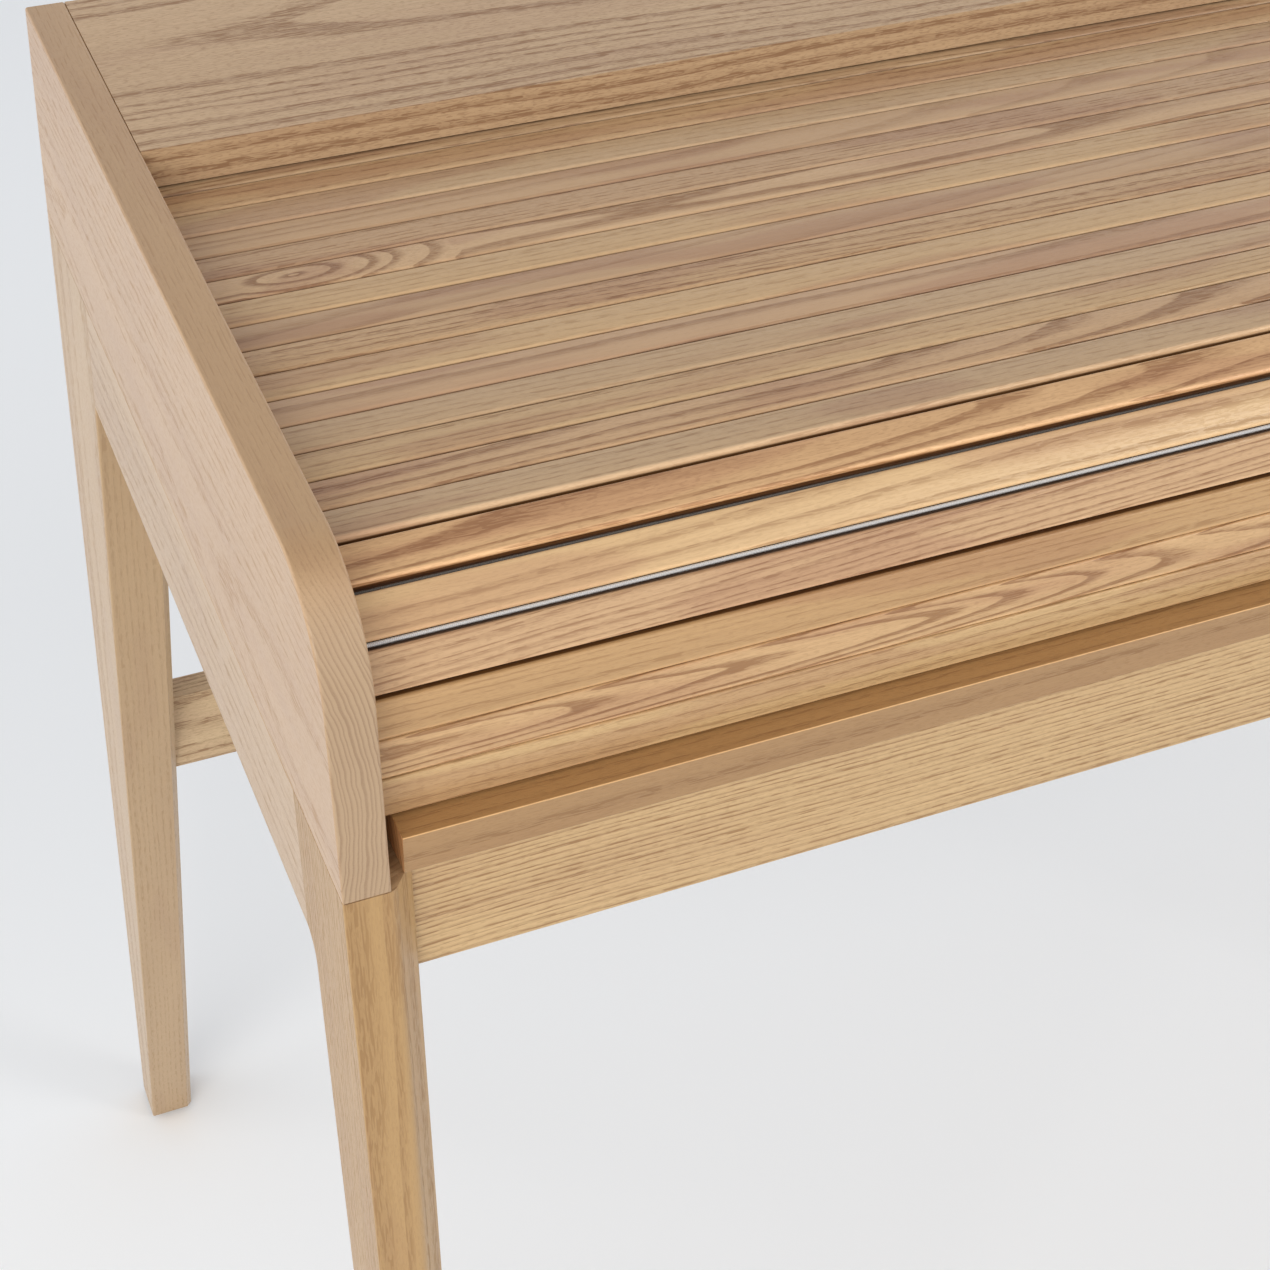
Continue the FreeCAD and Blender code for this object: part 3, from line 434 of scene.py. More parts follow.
def lacquer(tree, shader, grain, colour, smooth):
    """Satin lacquer over a wood's colour; the grain's open pores show through it."""
    pores = grain.outputs["Pores"]
    fill(tree, shader, {
        "Base Color": colour,
        "Roughness": ramp(tree, pores, 0, 1, smooth, smooth + PORE_ROUGHNESS),
        "Normal": bumped(tree, grain.outputs["Height"], GRAIN_BUMP, GRAIN_DEPTH)})


def ash(name, along, heart, lean=0.0, ring=0.003, wander=0.012, contrast=1.0, pale=PALE,
        tint=(1, 1, 1), ends=(0.84, 0.82, 0.80), ring_show=0.8, smooth=0.40, ripple=0.0014,
        bold=0.0):
    """An ash material: grain along an axis, log heart at a point, leaning by some degrees."""
    material, tree, shader = new_material(name)
    where = add(tree, "ShaderNodeTexCoord").outputs
    centred = vector(tree, "SUBTRACT", where["Object"], heart)
    leaned = add(tree, "ShaderNodeMapping", {"Vector": centred,
                                             "Rotation": (math.radians(lean), 0, 0)}).outputs[0]
    turned = add(tree, "ShaderNodeMapping", {"Vector": leaned,
                                             "Rotation": GRAIN_TURNS[along]}).outputs[0]
    grain = add(tree, "ShaderNodeGroup",
                {"Place": turned, "Ring Width": ring, "Wander": wander, "Ripple": ripple,
                 "Contrast": contrast, "Bold": bold, "Pale": (*pale, 1), "Brown": (*BROWN, 1),
                 "Tint": (*tint, 1)}, node_tree=ASH_GRAIN)
    facing = measured(tree, "DOT_PRODUCT", where["Normal"], GRAIN_AXES[along])
    cut = ramp(tree, sum_up(tree, "ABSOLUTE", facing), *CUT_END)
    wood = grain.outputs["Color"]
    rings = times(tree, grain.outputs["Rings"], ring_show)
    sawn = mix(tree, SMOOTH_SHARE, mix(tree, rings, (*pale, 1), (*BROWN, 1)), wood)
    lacquer(tree, shader, grain, mix(tree, cut, wood, tinted(tree, sawn, ends)), smooth)
    return material


def repaint(material, recolour):
    """Run a material's colour through one more step, which takes the tree and the colour."""
    tree = material.node_tree
    base = tree.nodes["Principled BSDF"].inputs["Base Color"]
    tree.links.new(recolour(tree, base.links[0].from_socket), base)
    return material


def shade_facing(material, way, tint, low=0.75, high=0.95):
    """Paint shade on the faces that look one way, by multiplying a material's colour there."""
    def recolour(tree, colour):
        normal = add(tree, "ShaderNodeTexCoord").outputs["Normal"]
        facing = ramp(tree, measured(tree, "DOT_PRODUCT", normal, way), low, high)
        return mix(tree, facing, colour, tinted(tree, colour, tint))

    return repaint(material, recolour)


def dress(node, material):
    """Give a carried-over solid its material."""
    data = nodes[node].data
    data.materials.clear()
    data.materials.append(material)


print("finishes ready")

# %% [markdown]
# ## Dress the frame's boards
#
# A heart close beside a board gives tall arches on its face, and a heart far away gives
# straight lines. The hood's sides show faint long grain outside and wavy growth lines on
# their front edges, so their hearts lie beside their wide faces. The front apron has clear
# streaks, so its contrast is high and its rings are bold.

# %% Dress the hood, legs and rails
SIDES = (("left", -1), ("right", 1))
for side, sign in SIDES:
    hood_side = ash(f"ash_side_{side}", "y", (sign * 0.71, 0.0, 0.78), ring=0.0013, wander=0.010,
                    contrast=0.24, tint=(1.04, 1.00, 0.98), ends=(0.86, 0.88, 0.93),
                    ring_show=0.66, smooth=0.28, ripple=0.002)
    # Faces that look up, the top edge and the rounded corner, are darkened: painted shade.
    shade_facing(hood_side, (0, 0, 1), (0.80, 0.77, 0.71), 0.8, 0.98)
    dress(f"side_panel_{side}", hood_side)
    dress(f"side_rail_{side}", ash(f"ash_side_rail_{side}", "y", (sign * 0.70, 0.1, 0.66),
                                   contrast=0.35, smooth=0.28))
    dress(f"front_leg_{side}", ash(f"ash_front_leg_{side}", "z", (sign * 0.66, 0.02, 0.1), 3.4,
                                   ring=0.0022, wander=0.006, contrast=0.5,
                                   tint=(0.90, 0.81, 0.58), bold=0.4, smooth=0.32))
    dress(f"back_leg_{side}", ash(f"ash_back_leg_{side}", "z", (sign * 0.66, 0.24, 0.1), -15.2,
                                  ring=0.0026, wander=0.004, contrast=0.25,
                                  tint=(1.0, 0.99, 0.92), smooth=0.28))
dress("front_apron", ash("ash_apron", "x", (0.0, -0.235, 0.640), ring=0.0020, contrast=0.85,
                         bold=0.4, tint=(1.19, 1.20, 1.05)))
dress("rear_rail", ash("ash_rear_rail", "x", (0.3, 0.06, 0.70)))
# The stretcher's tint lightens it beyond its wood: painted light against the shade it stands in.
dress("back_stretcher", ash("ash_stretcher", "x", (0.2, 0.10, 0.46), contrast=0.9,
                            tint=(1.20, 1.30, 1.34)))
dress("deck_panel", ash("ash_deck", "x", (0.1, 0.02, 0.62)))
dress("back_panel", ash("ash_back", "x", (0.4, 0.16, 0.70)))
dress("rear_top", ash("ash_rear_top", "x", (0.2, 0.04, 0.76)))
print("frame dressed")

# %% [markdown]
# ## The writing board and the organiser
#
# The board is plain and calm, with a smooth orange-brown face. Its top and front faces are
# darkened with painted shade, its end faces are lightened with painted light, and a painted
# highlight mixes a paler colour in within half a millimetre of its upper front arris.
# The organiser behind it is thin stock, and the drawers are boxes with ash fronts.

# %% Dress the board, organiser and drawers
# A painted highlight along the board's upper front edge, where it catches the light.
EDGE_HIGHLIGHT_TINT = (1.3, 1.3, 1.3)
EDGE_HIGHLIGHT_NEAR, EDGE_HIGHLIGHT_FAR = 0.0002, 0.0005


def highlight_front_edge(tree, colour):
    """A painted highlight: a paler colour within half a millimetre of the board's upper front edge.
    """
    low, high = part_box("writing_board")
    place = add(tree, "ShaderNodeTexCoord").outputs["Object"]
    beside = vector(tree, "SUBTRACT", place, (0, low.y, high.z))
    away = measured(tree, "LENGTH", vector(tree, "MULTIPLY", beside, (0, 1, 1)))
    edge_highlight = ramp(tree, away, EDGE_HIGHLIGHT_NEAR, EDGE_HIGHLIGHT_FAR, 1.0, 0.0)
    return mix(tree, edge_highlight, colour, tinted(tree, colour, EDGE_HIGHLIGHT_TINT))


# The end faces get a lighter tint: painted light. The front and top faces are darkened by which way
# they look: painted shade.
board_wood = ash("ash_board", "x", (0.1, -0.06, 0.70), wander=0.008, contrast=0.45,
                 tint=(1.16, 1.06, 0.83), ends=(1.4, 1.25, 1.1))
shade_facing(board_wood, (0, -1, 0), (0.66, 0.63, 0.63))
shade_facing(board_wood, (0, 0, 1), (0.62, 0.54, 0.44))
dress("writing_board", repaint(board_wood, highlight_front_edge))
dress("organiser_floor", ash("ash_organiser_floor", "x", (0.3, 0.0, 0.66)))
for number in range(1, 5):
    dress(f"divider_{number}", ash(f"ash_divider_{number}", "y", (0.2 * number - 0.62, 0.1, 0.74)))
for side, sign in SIDES:
    dress(f"board_runner_{side}", ash(f"ash_runner_{side}", "y", (sign * 0.50, 0.0, 0.70)))
    dress(f"drawer_front_{side}", ash(f"ash_drawer_front_{side}", "x", (sign * 0.3, -0.02, 0.77)))
    dress(f"drawer_tray_{side}", ash(f"birch_tray_{side}", "y", (sign * 0.40, 0.0, 0.68),
                                     ring=0.0015, contrast=0.35, pale=(0.70, 0.54, 0.35)))
print("inside dressed")

# %% [markdown]
# ## Turned knobs
#
# A drawer knob is turned on a lathe, so its shape is one profile spun about an axis. The
# profile is a few points from the drawer's face outwards: a foot, a waist and a rounded head.
# Each point gives how far out it lies and how wide the knob is there, as shares of the whole.

# %% Turn the knobs
KNOB_PROFILE = [(0.0, 0.55), (0.03, 0.58), (0.07, 0.55), (0.20, 0.46), (0.36, 0.43), (0.50, 0.50),
                (0.60, 0.68), (0.68, 0.88), (0.75, 0.98), (0.82, 1.0), (0.89, 0.96), (0.94, 0.86),
                (0.98, 0.62), (1.0, 0.0)]
KNOB_SIDES = 40
KNOB_HEART = Vector((0.02, 0, 0.015))


def point_outwards(mesh):
    """Recalculate the normals of a closed mesh."""
    shell = bmesh.new()
    shell.from_mesh(mesh)
    bmesh.ops.recalc_face_normals(shell, faces=shell.faces)
    shell.to_mesh(mesh)
    shell.free()


def turned_piece(name, root, length, radius, profile):
    """A mesh spun about a line that leaves root towards -Y; the profile ends on that line."""
    vertices = []
    for out, wide in profile[:-1]:
        for step in range(KNOB_SIDES):
            angle = 2 * math.pi * step / KNOB_SIDES
            vertices.append(root + Vector((radius * wide * math.cos(angle), -length * out,
                                           radius * wide * math.sin(angle))))
    tip = len(vertices)
    vertices.append(root + Vector((0, -length, 0)))
    faces = [tuple(range(KNOB_SIDES))]
    for first in range(0, (len(profile) - 2) * KNOB_SIDES, KNOB_SIDES):
        for step in range(KNOB_SIDES):
            here, beside = first + step, first + (step + 1) % KNOB_SIDES
            faces.append((here, here + KNOB_SIDES, beside + KNOB_SIDES, beside))
    last = (len(profile) - 2) * KNOB_SIDES
    faces += [(last + step, tip, last + (step + 1) % KNOB_SIDES) for step in range(KNOB_SIDES)]
    piece = plain_mesh(name, vertices, faces)
    point_outwards(piece.data)
    piece.data.shade_smooth()
    return piece


for side in ("left", "right"):
    low, high = (Vector(corner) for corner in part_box(f"drawer_knob_{side}"))
    root = Vector(((low.x + high.x) / 2, high.y, (low.z + high.z) / 2))
    knob = turned_piece(f"knob_{side}", root, high.y - low.y, (high.x - low.x) / 2, KNOB_PROFILE)
    knob.data.materials.append(ash(f"ash_knob_{side}", "y", root + KNOB_HEART, ring=0.0016))
    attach(knob, f"drawer_{side}")
    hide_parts(f"drawer_knob_{side}")
print("knobs turned")

# %% [markdown]
# ## Where the curtain folds
#
# The curtain is a chain of bodies that hinge on the canvas behind the slats. Its fold lines
# are joints of the frame, so their places are read from it. Each body tips further than the
# one before: the turn from level to the raked front is shared evenly between the folds. The
# last slat is wider than the others, and its width is read back from its solid.

# %% Measure the curtain
SLAT_PITCH = 0.01305
SLAT_GAP = 0.0005
FOLD_GAP = 0.0011
OPEN_GAP = 0.0024
OPEN_GAP_TAKEN = 0.0012
SLAT_THICKNESS = 0.0042
SLAT_ARRIS = 0.0009
TOP_SLATS = 15
FRONT_SLATS = 3
FRONT_LEAN, FRONT_HEIGHT = 0.0448, 0.754
folds = [Vector(joints[f"fold_{number}"]["pos_m"]) for number in range(1, 5)]
rake = math.atan2(FRONT_LEAN, FRONT_HEIGHT)
fold_turn = (math.pi / 2 - rake) / len(folds)
last_low, last_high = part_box("slat_21")
last_rise = (last_high.z - last_low.z) - (SLAT_THICKNESS - SLAT_ARRIS) * math.sin(rake)
last_pitch = last_rise / math.cos(rake) + SLAT_GAP
print("folds at", [tuple(round(value, 4) for value in fold) for fold in folds])

# %% [markdown]
# ## A run of slats
#
# A tambour is one narrow strip of ash repeated many times, so Geometry Nodes lay the slats. The
# tree draws one slat's section as a rectangle, rounds its two upper corners, sweeps it along
# the desk's width, adds a stub tongue at each end where the slat runs in a groove, and repeats
# it down the curtain. The local frame has its origin on the hinge line, -Y down the curtain
# and the slat's flat back on Z = 0. Each point keeps its place inside its own slat, which the
# material needs later, because a slat's grain must not run on into its neighbour.

# %% Build the slat run tree
SLAT_LENGTH = 1.072
TONGUE_REACH = 0.006
TONGUE_NARROWER = 0.0008
TONGUE_THICKNESS, TONGUE_MIDDLE, TONGUE_ARRIS = 0.0028, 0.0018, 0.0002
SHARP_ARRIS, ARRIS_STEPS = 0.00015, 4
SLAT_INPUTS = [
    ("Count", "Int", 1), ("Pitch", "Float", SLAT_PITCH),
    ("First Centre", "Float", -SLAT_PITCH / 2), ("Slat Width", "Float", SLAT_PITCH - SLAT_GAP),
    ("Thickness", "Float", SLAT_THICKNESS), ("Arris", "Float", SLAT_ARRIS),
    ("Slat Length", "Float", SLAT_LENGTH), ("Tongue Reach", "Float", 0.0),
    ("First Number", "Int", 1), ("Wood", "Material", None),
]


def swept_bar(tree, width, height, middle_height, length, arris):
    """A bar along X, centred in X and Y, whose section has its upper corners rounded."""
    section = add(tree, "GeometryNodeCurvePrimitiveQuadrilateral",
                  {"Width": width, "Height": height}).outputs[0]
    place = add(tree, "GeometryNodeInputPosition").outputs[0]
    upper = add(tree, "FunctionNodeCompare", {0: parts(tree, place)["Y"], 1: 0.0},
                operation="GREATER_THAN").outputs[0]
    radius = sum_up(tree, "MAXIMUM", times(tree, upper, arris), SHARP_ARRIS)
    rounded = add(tree, "GeometryNodeFilletCurve",
                  {"Curve": section, "Count": ARRIS_STEPS, "Radius": radius},
                  mode="POLY").outputs[0]
    half = times(tree, length, 0.5)
    line = add(tree, "GeometryNodeCurvePrimitiveLine",
               {"Start": joined(tree, times(tree, half, -1.0)),
                "End": joined(tree, half)}).outputs[0]
    bar = add(tree, "GeometryNodeCurveToMesh", {"Curve": line, "Profile Curve": rounded,
                                                "Fill Caps": True}).outputs[0]
    return add(tree, "GeometryNodeTransform",
               {"Geometry": bar, "Translation": joined(tree, z=middle_height),
                "Rotation": (math.pi, 0, 0)}).outputs[0]


def stored(tree, geometry, name, value, kind):
    """A geometry that keeps a value on each of its points under a name."""
    return add(tree, "GeometryNodeStoreNamedAttribute",
               {"Geometry": geometry, "Name": name, "Value": value},
               data_type=kind, domain="POINT").outputs[0]


def one_slat(tree, given):
    """A slat with a tongue at each end, unless the tongues have no reach."""
    thickness = given["Thickness"]
    bar = swept_bar(tree, given["Slat Width"], thickness, times(tree, thickness, 0.5),
                    given["Slat Length"], given["Arris"])
    reach = times(tree, given["Tongue Reach"], 2.0)
    tongue = swept_bar(tree, sum_up(tree, "SUBTRACT", given["Slat Width"], TONGUE_NARROWER),
                       TONGUE_THICKNESS, TONGUE_MIDDLE,
                       plus(tree, given["Slat Length"], reach), TONGUE_ARRIS)
    tongued = sum_up(tree, "GREATER_THAN", given["Tongue Reach"], 0.0)
    tongue = add(tree, "GeometryNodeSwitch", {"Switch": tongued, "True": tongue},
                 input_type="GEOMETRY").outputs[0]
    slat = add(tree, "GeometryNodeJoinGeometry")
    for part in (tongue, bar):
        tree.links.new(part, slat.inputs[0])
    place = add(tree, "GeometryNodeInputPosition").outputs[0]
    return stored(tree, slat.outputs[0], "slat_place", place, "FLOAT_VECTOR")


def build_slat_run():
    tree, given, result = node_group("slat_run", "GeometryNodeTree", SLAT_INPUTS,
                                     [("Geometry", "Geometry")])
    slat = one_slat(tree, given)
    index = add(tree, "GeometryNodeInputIndex").outputs[0]
    down = sum_up(tree, "SUBTRACT", given["First Centre"], times(tree, index, given["Pitch"]))
    centres = add(tree, "GeometryNodePoints", {"Count": given["Count"],
                                               "Position": joined(tree, y=down)}).outputs[0]
    number = plus(tree, index, given["First Number"])
    centres = stored(tree, centres, "slat_number", number, "FLOAT")
    laid = add(tree, "GeometryNodeInstanceOnPoints", {"Points": centres,
                                                      "Instance": slat}).outputs[0]
    solid = add(tree, "GeometryNodeRealizeInstances", {"Geometry": laid}).outputs[0]
    made = add(tree, "GeometryNodeSetMaterial", {"Geometry": solid,
                                                 "Material": given["Wood"]}).outputs[0]
    fill(tree, result, {"Geometry": made})
    return tree


SLAT_RUN = build_slat_run()
print("slat run tree with", len(SLAT_RUN.nodes), "nodes")

# %% [markdown]
# ## Wood for the slats
#
# The strips of a tambour are sawn from many boards, so each slat has its own colour and
# figure: some are plain and straight, some show arches or a smoky brown streak. One material
# serves them all. It reads where a point is inside its slat, and a few values kept on the
# mesh: where that slat's log heart lay and how far the log leaned, how wide its rings are, its
# contrast and its tint, how strong the painted highlight on its front arris is, and how high
# painted shade reaches on the walls of its joints. The painted highlight stands in for the light
# that the rounded front arris catches, more on some slats than on others, and the painted shade
# stands in for the shadow down in the joints.

# %% Make the slat material
LEAN_LIMIT, LEAN_LEAST, LEAN_BOLDNESS = 0.0035, 0.0001, 22.0
# The front arris gets a painted highlight, and the walls of the joints get painted shade.
ARRIS_FROM, ARRIS_TO, ARRIS_HIGHLIGHT_TINT = -0.0046, -0.0058, (1.55, 1.56, 1.60)
WALL_SHADE_FADE, WALL_SHADE_TINT = 0.0007, (0.27, 0.18, 0.10)
MILLIMETRE = 0.001
SLAT_SMOOTHNESS = 0.32


def attribute(tree, name):
    """A value kept on the mesh; gives the node's outputs."""
    return add(tree, "ShaderNodeAttribute", attribute_name=name, attribute_type="GEOMETRY").outputs


def heart_depth(tree, spot, log):
    """How far a leaning log's heart has sunk at a point, up to a limit on either side."""
    steep = plus(tree, times(tree, log["Y"], log["Y"]), LEAN_LEAST)
    span = sum_up(tree, "DIVIDE", LEAN_LIMIT, steep)
    beside = sum_up(tree, "MINIMUM", sum_up(tree, "SUBTRACT", spot["X"], log["X"]), span)
    beside = sum_up(tree, "MAXIMUM", beside, times(tree, span, -1.0))
    return times(tree, beside, log["Y"])


def slat_wood():
    """One wood for every slat, steered by the values kept on the mesh."""
    material, tree, shader = new_material("ash_slats")
    inside, heart, log, figure = (attribute(tree, f"slat_{name}")["Vector"]
                                  for name in ("place", "heart", "log", "figure"))
    spot, log, figure = parts(tree, inside), parts(tree, log), parts(tree, figure)
    tint = attribute(tree, "slat_tint")
    sink = joined(tree, z=heart_depth(tree, spot, log))
    leaning = vector(tree, "ADD", vector(tree, "SUBTRACT", inside, heart), sink)
    lean = sum_up(tree, "ABSOLUTE", log["Y"])
    bold = sum_up(tree, "MINIMUM", times(tree, lean, LEAN_BOLDNESS), 1.0)
    grain = add(tree, "ShaderNodeGroup",
                {"Place": leaning, "Ring Width": figure["X"], "Contrast": figure["Y"],
                 "Wander": figure["Z"], "Pale": (*PALE, 1), "Brown": (*BROWN, 1), "Smoke": 1.0,
                 "Bold": bold, "Tint": tint["Color"]}, node_tree=ASH_GRAIN)
    wood = grain.outputs["Color"]
    # A painted highlight on the front arris, and painted shade on the joint walls up to their shade
    # top.
    arris = times(tree, ramp(tree, spot["Y"], ARRIS_FROM, ARRIS_TO), log["Z"])
    highlighted = mix(tree, arris, wood, tinted(tree, wood, ARRIS_HIGHLIGHT_TINT))
    wall_shade_top = times(tree, tint["Alpha"], MILLIMETRE)
    wall = ramp(tree, sum_up(tree, "SUBTRACT", spot["Z"], wall_shade_top), -WALL_SHADE_FADE, 0.0, 1.0, 0.0)
    colour = mix(tree, wall, highlighted, tinted(tree, wood, WALL_SHADE_TINT))
    lacquer(tree, shader, grain, colour, SLAT_SMOOTHNESS)
    return material


SLAT_WOOD = slat_wood()
print("slat material ready")

# %% [markdown]
# ## Lay the curtain
#
# Each hinged body of the curtain gets one mesh of slats. The modifier's inputs are set by the
# socket's identifier, the evaluated result is copied into a plain mesh, and that mesh is tipped
# and moved to the body's hinge line. The slats inside the corner are a little narrower, because
# their joints open as the canvas folds; the widest joint lies almost wholly below its fold.

# %% Lay the slats
def grown(name, tree, values):
    """The mesh that a geometry tree makes with these input values."""
    host = plain_mesh(name, [], [])
    modifier = host.modifiers.new(tree.name, "NODES")
    modifier.node_group = tree
    for item in tree.interface.items_tree:
        if item.in_out == "INPUT" and item.name in values:
            modifier[item.identifier] = values[item.name]
    evaluated = host.evaluated_get(bpy.context.evaluated_depsgraph_get())
    mesh = bpy.data.meshes.new_from_object(evaluated)
    bpy.data.objects.remove(host)
    return mesh


def one_mesh(name, meshes, place, material):
    """Join meshes into one object of one material, and put the place into the vertices."""
    shell = bmesh.new()
    for mesh in meshes:
        shell.from_mesh(mesh)
    shell.transform(place)
    whole = meshes[0].copy()
    shell.to_mesh(whole)
    shell.free()
    whole.name = name
    whole.materials.clear()
    whole.materials.append(material)
    whole.polygons.foreach_set("material_index", [0] * len(whole.polygons))
    return link(bpy.data.objects.new(name, whole))


def slats(first, count, rear_gap, front_gap, width=SLAT_PITCH, tongue=0.0, offset=0.0):
    """One run of equal slats; rear_gap and front_gap are halves of the joints beside it."""
    return grown("slats", SLAT_RUN, {
        "Count": count, "First Number": first, "Slat Width": width - rear_gap - front_gap,
        "First Centre": offset - (width + rear_gap - front_gap) / 2, "Tongue Reach": tongue,
        "Wood": SLAT_WOOD})


def hinge_place(hinge, tip):
    """The matrix that tips a piece about X and moves it to its hinge line."""
    return Matrix.Translation(hinge) @ Matrix.Rotation(tip, 4, "X")


closed = SLAT_GAP / 2
corner = FOLD_GAP / 2
opened = OPEN_GAP - closed - OPEN_GAP_TAKEN
top_hinge = folds[0] + Vector((0, TOP_SLATS * SLAT_PITCH, 0))
curtain = {
    "curtain_top": (top_hinge, 0.0, [slats(1, TOP_SLATS, closed, closed, tongue=TONGUE_REACH)]),
    "curtain_bend_1": (folds[0], fold_turn, [slats(16, 1, closed, corner)]),
    "curtain_bend_2": (folds[1], fold_turn * 2, [slats(17, 1, corner, closed)]),
    "curtain_bend_3": (folds[2], fold_turn * 3, [slats(18, 1, opened, closed)]),
    "curtain_front": (folds[3], fold_turn * 4,
                      [slats(19, FRONT_SLATS - 1, closed, closed),
                       slats(21, 1, closed, closed, width=last_pitch, offset=-SLAT_PITCH * 2)]),
}
laid = {body: one_mesh(f"slats_{body}", meshes, hinge_place(hinge, tip), SLAT_WOOD)
        for body, (hinge, tip, meshes) in curtain.items()}
for piece in laid.values():
    print(piece.name, "has", len(piece.data.polygons), "faces")

# %% [markdown]
# ## Give each slat its figure
#
# A list describes the slats one by one: where the log's heart lay across and below the strip,
# the ring width, contrast and wander of the grain, and the strip's own colour. A heart far away
# gives calm straight lines. A second list names the slats whose log leaned: where its heart
# would come out of the strip, and how steeply. Those show nested arches or a flame. Two more
# say how strong the painted highlight on the front arris is, and up to what height in mm
# painted shade darkens a joint's walls.

# %% Set the slat figures
GREY_TAN, YELLOW_TAN = (0.93, 0.92, 0.89), (1.00, 0.97, 0.87)
SMOKY, ORANGE_TAN = (0.91, 0.86, 0.83), (0.97, 0.91, 0.82)
SLAT_FIGURES = {
    # slat: (across, below, ring width, contrast, wander, tint)
    1: (0.030, 0.012, 0.0030, 0.6, 0.012, GREY_TAN),
    2: (-0.020, 0.010, 0.0034, 0.7, 0.014, ORANGE_TAN),
    3: (0.050, 0.020, 0.0026, 0.5, 0.010, GREY_TAN),
    4: (0.010, 0.016, 0.0038, 0.7, 0.016, SMOKY),
    5: (-0.060, 0.020, 0.0022, 0.6, 0.008, SMOKY),
    6: (0.003, 0.001, 0.0030, 1.4, 0.012, (1.04, 1.00, 0.95)),
    7: (0.080, 0.030, 0.0030, 0.4, 0.012, YELLOW_TAN),
    8: (-0.030, 0.014, 0.0036, 0.6, 0.012, SMOKY),
    9: (0.040, 0.050, 0.0018, 0.7, 0.006, ORANGE_TAN),
    10: (-0.070, 0.020, 0.0030, 0.4, 0.010, YELLOW_TAN),
    11: (0.006, 0.004, 0.0070, 0.7, 0.012, (0.93, 0.87, 0.85)),
    12: (0.090, 0.040, 0.0024, 0.4, 0.008, GREY_TAN),
    13: (-0.050, 0.050, 0.0022, 0.5, 0.006, YELLOW_TAN),
    14: (0.006, 0.008, 0.0022, 1.1, 0.010, (0.98, 0.91, 0.84)),
    15: (0.080, 0.060, 0.0020, 0.45, 0.005, GREY_TAN),
    16: (0.004, 0.006, 0.0016, 1.2, 0.008, (1.16, 1.05, 0.91)),
    17: (0.012, 0.010, 0.0030, 0.7, 0.010, (1.27, 1.25, 1.11)),
    18: (0.050, 0.090, 0.0011, 0.85, 0.003, (1.14, 1.08, 1.02)),
    19: (0.090, 0.030, 0.0028, 0.4, 0.006, (1.03, 0.93, 0.74)),
    20: (0.001, 0.003, 0.0012, 1.2, 0.006, (1.18, 1.11, 0.97)),
    21: (0.030, 0.030, 0.0020, 0.6, 0.008, (1.14, 1.12, 0.95)),
}
SLAT_LEANS = {4: (-0.20, 0.06), 6: (-0.490, 0.32), 8: (0.30, -0.05), 11: (-0.30, 0.05),
              14: (-0.62, 0.03), 16: (-0.70, 0.03), 17: (-0.60, 0.03), 18: (0.0, 0.025),
              20: (-0.44, 0.034)}
# How strong each slat's painted arris highlight is, and up to what height in mm painted shade
# darkens its joint walls.
ARRIS_HIGHLIGHT = {3: 0.35, 7: 0.3, 10: 0.3, 12: 0.3, 15: 1.0, 16: 0.9, 17: 0.4, 18: 0.6, 19: 0.6,
              20: 0.6, 21: 0.4}
WALL_SHADE_TOP = {15: 3.1, 16: 3.1, 17: 2.2, 18: 3.1, 19: 3.1, 20: 3.1, 21: 3.1}
USUAL_ARRIS_HIGHLIGHT, USUAL_WALL_SHADE_TOP = 0.15, 3.95
LOG_STEP = 1.7


def slat_figure(number):
    """A slat's heart, its ring width, contrast and wander, its log and arris highlight, its tint
    and wall shade top.
    """
    across, below, ring, contrast, wander, tint = SLAT_FIGURES[number]
    return ((number * LOG_STEP, across, -below), (ring, contrast, wander),
            (*SLAT_LEANS.get(number, (0, 0)), ARRIS_HIGHLIGHT.get(number, USUAL_ARRIS_HIGHLIGHT)),
            (*tint, WALL_SHADE_TOP.get(number, USUAL_WALL_SHADE_TOP)))


def mark_slats(mesh):
    """Write each slat's figure on the points of its mesh."""
    numbers = [round(item.value) for item in mesh.attributes["slat_number"].data]
    kinds = {"slat_heart": "FLOAT_VECTOR", "slat_figure": "FLOAT_VECTOR",
             "slat_log": "FLOAT_VECTOR", "slat_tint": "FLOAT_COLOR"}
    for name, kind in kinds.items():
        mesh.attributes.new(name, kind, "POINT")
    heart, figure, log, tint = (mesh.attributes[name].data for name in kinds)
    for point, number in enumerate(numbers):
        (heart[point].vector, figure[point].vector, log[point].vector,
         tint[point].color) = slat_figure(number)
    return sorted(set(numbers))


for body, piece in laid.items():
    numbers = mark_slats(piece.data)
    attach(piece, body)
    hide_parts(*[f"slat_{number:02d}" for number in numbers])
    print(piece.name, "holds slats", numbers)

# %% [markdown]
# ## The canvas behind the slats
#
# A tambour bends because its slats are glued to a strip of stretched canvas. It shows as a
# pale line wherever a joint opens in the corner. The weave is worked out on a UV map that is
# laid in metres, so the threads have their real size. In the narrow joints of the corner little
# light reaches the cloth, so those lengths get a copy of the material darkened with painted shade.

# %% Weave the canvas
THREAD = 0.0005
CANVAS_LOW, CANVAS_HIGH = (0.50, 0.497, 0.495, 1), (0.70, 0.70, 0.70, 1)
CANVAS_SOIL = (0.62, 0.59, 0.54, 1)
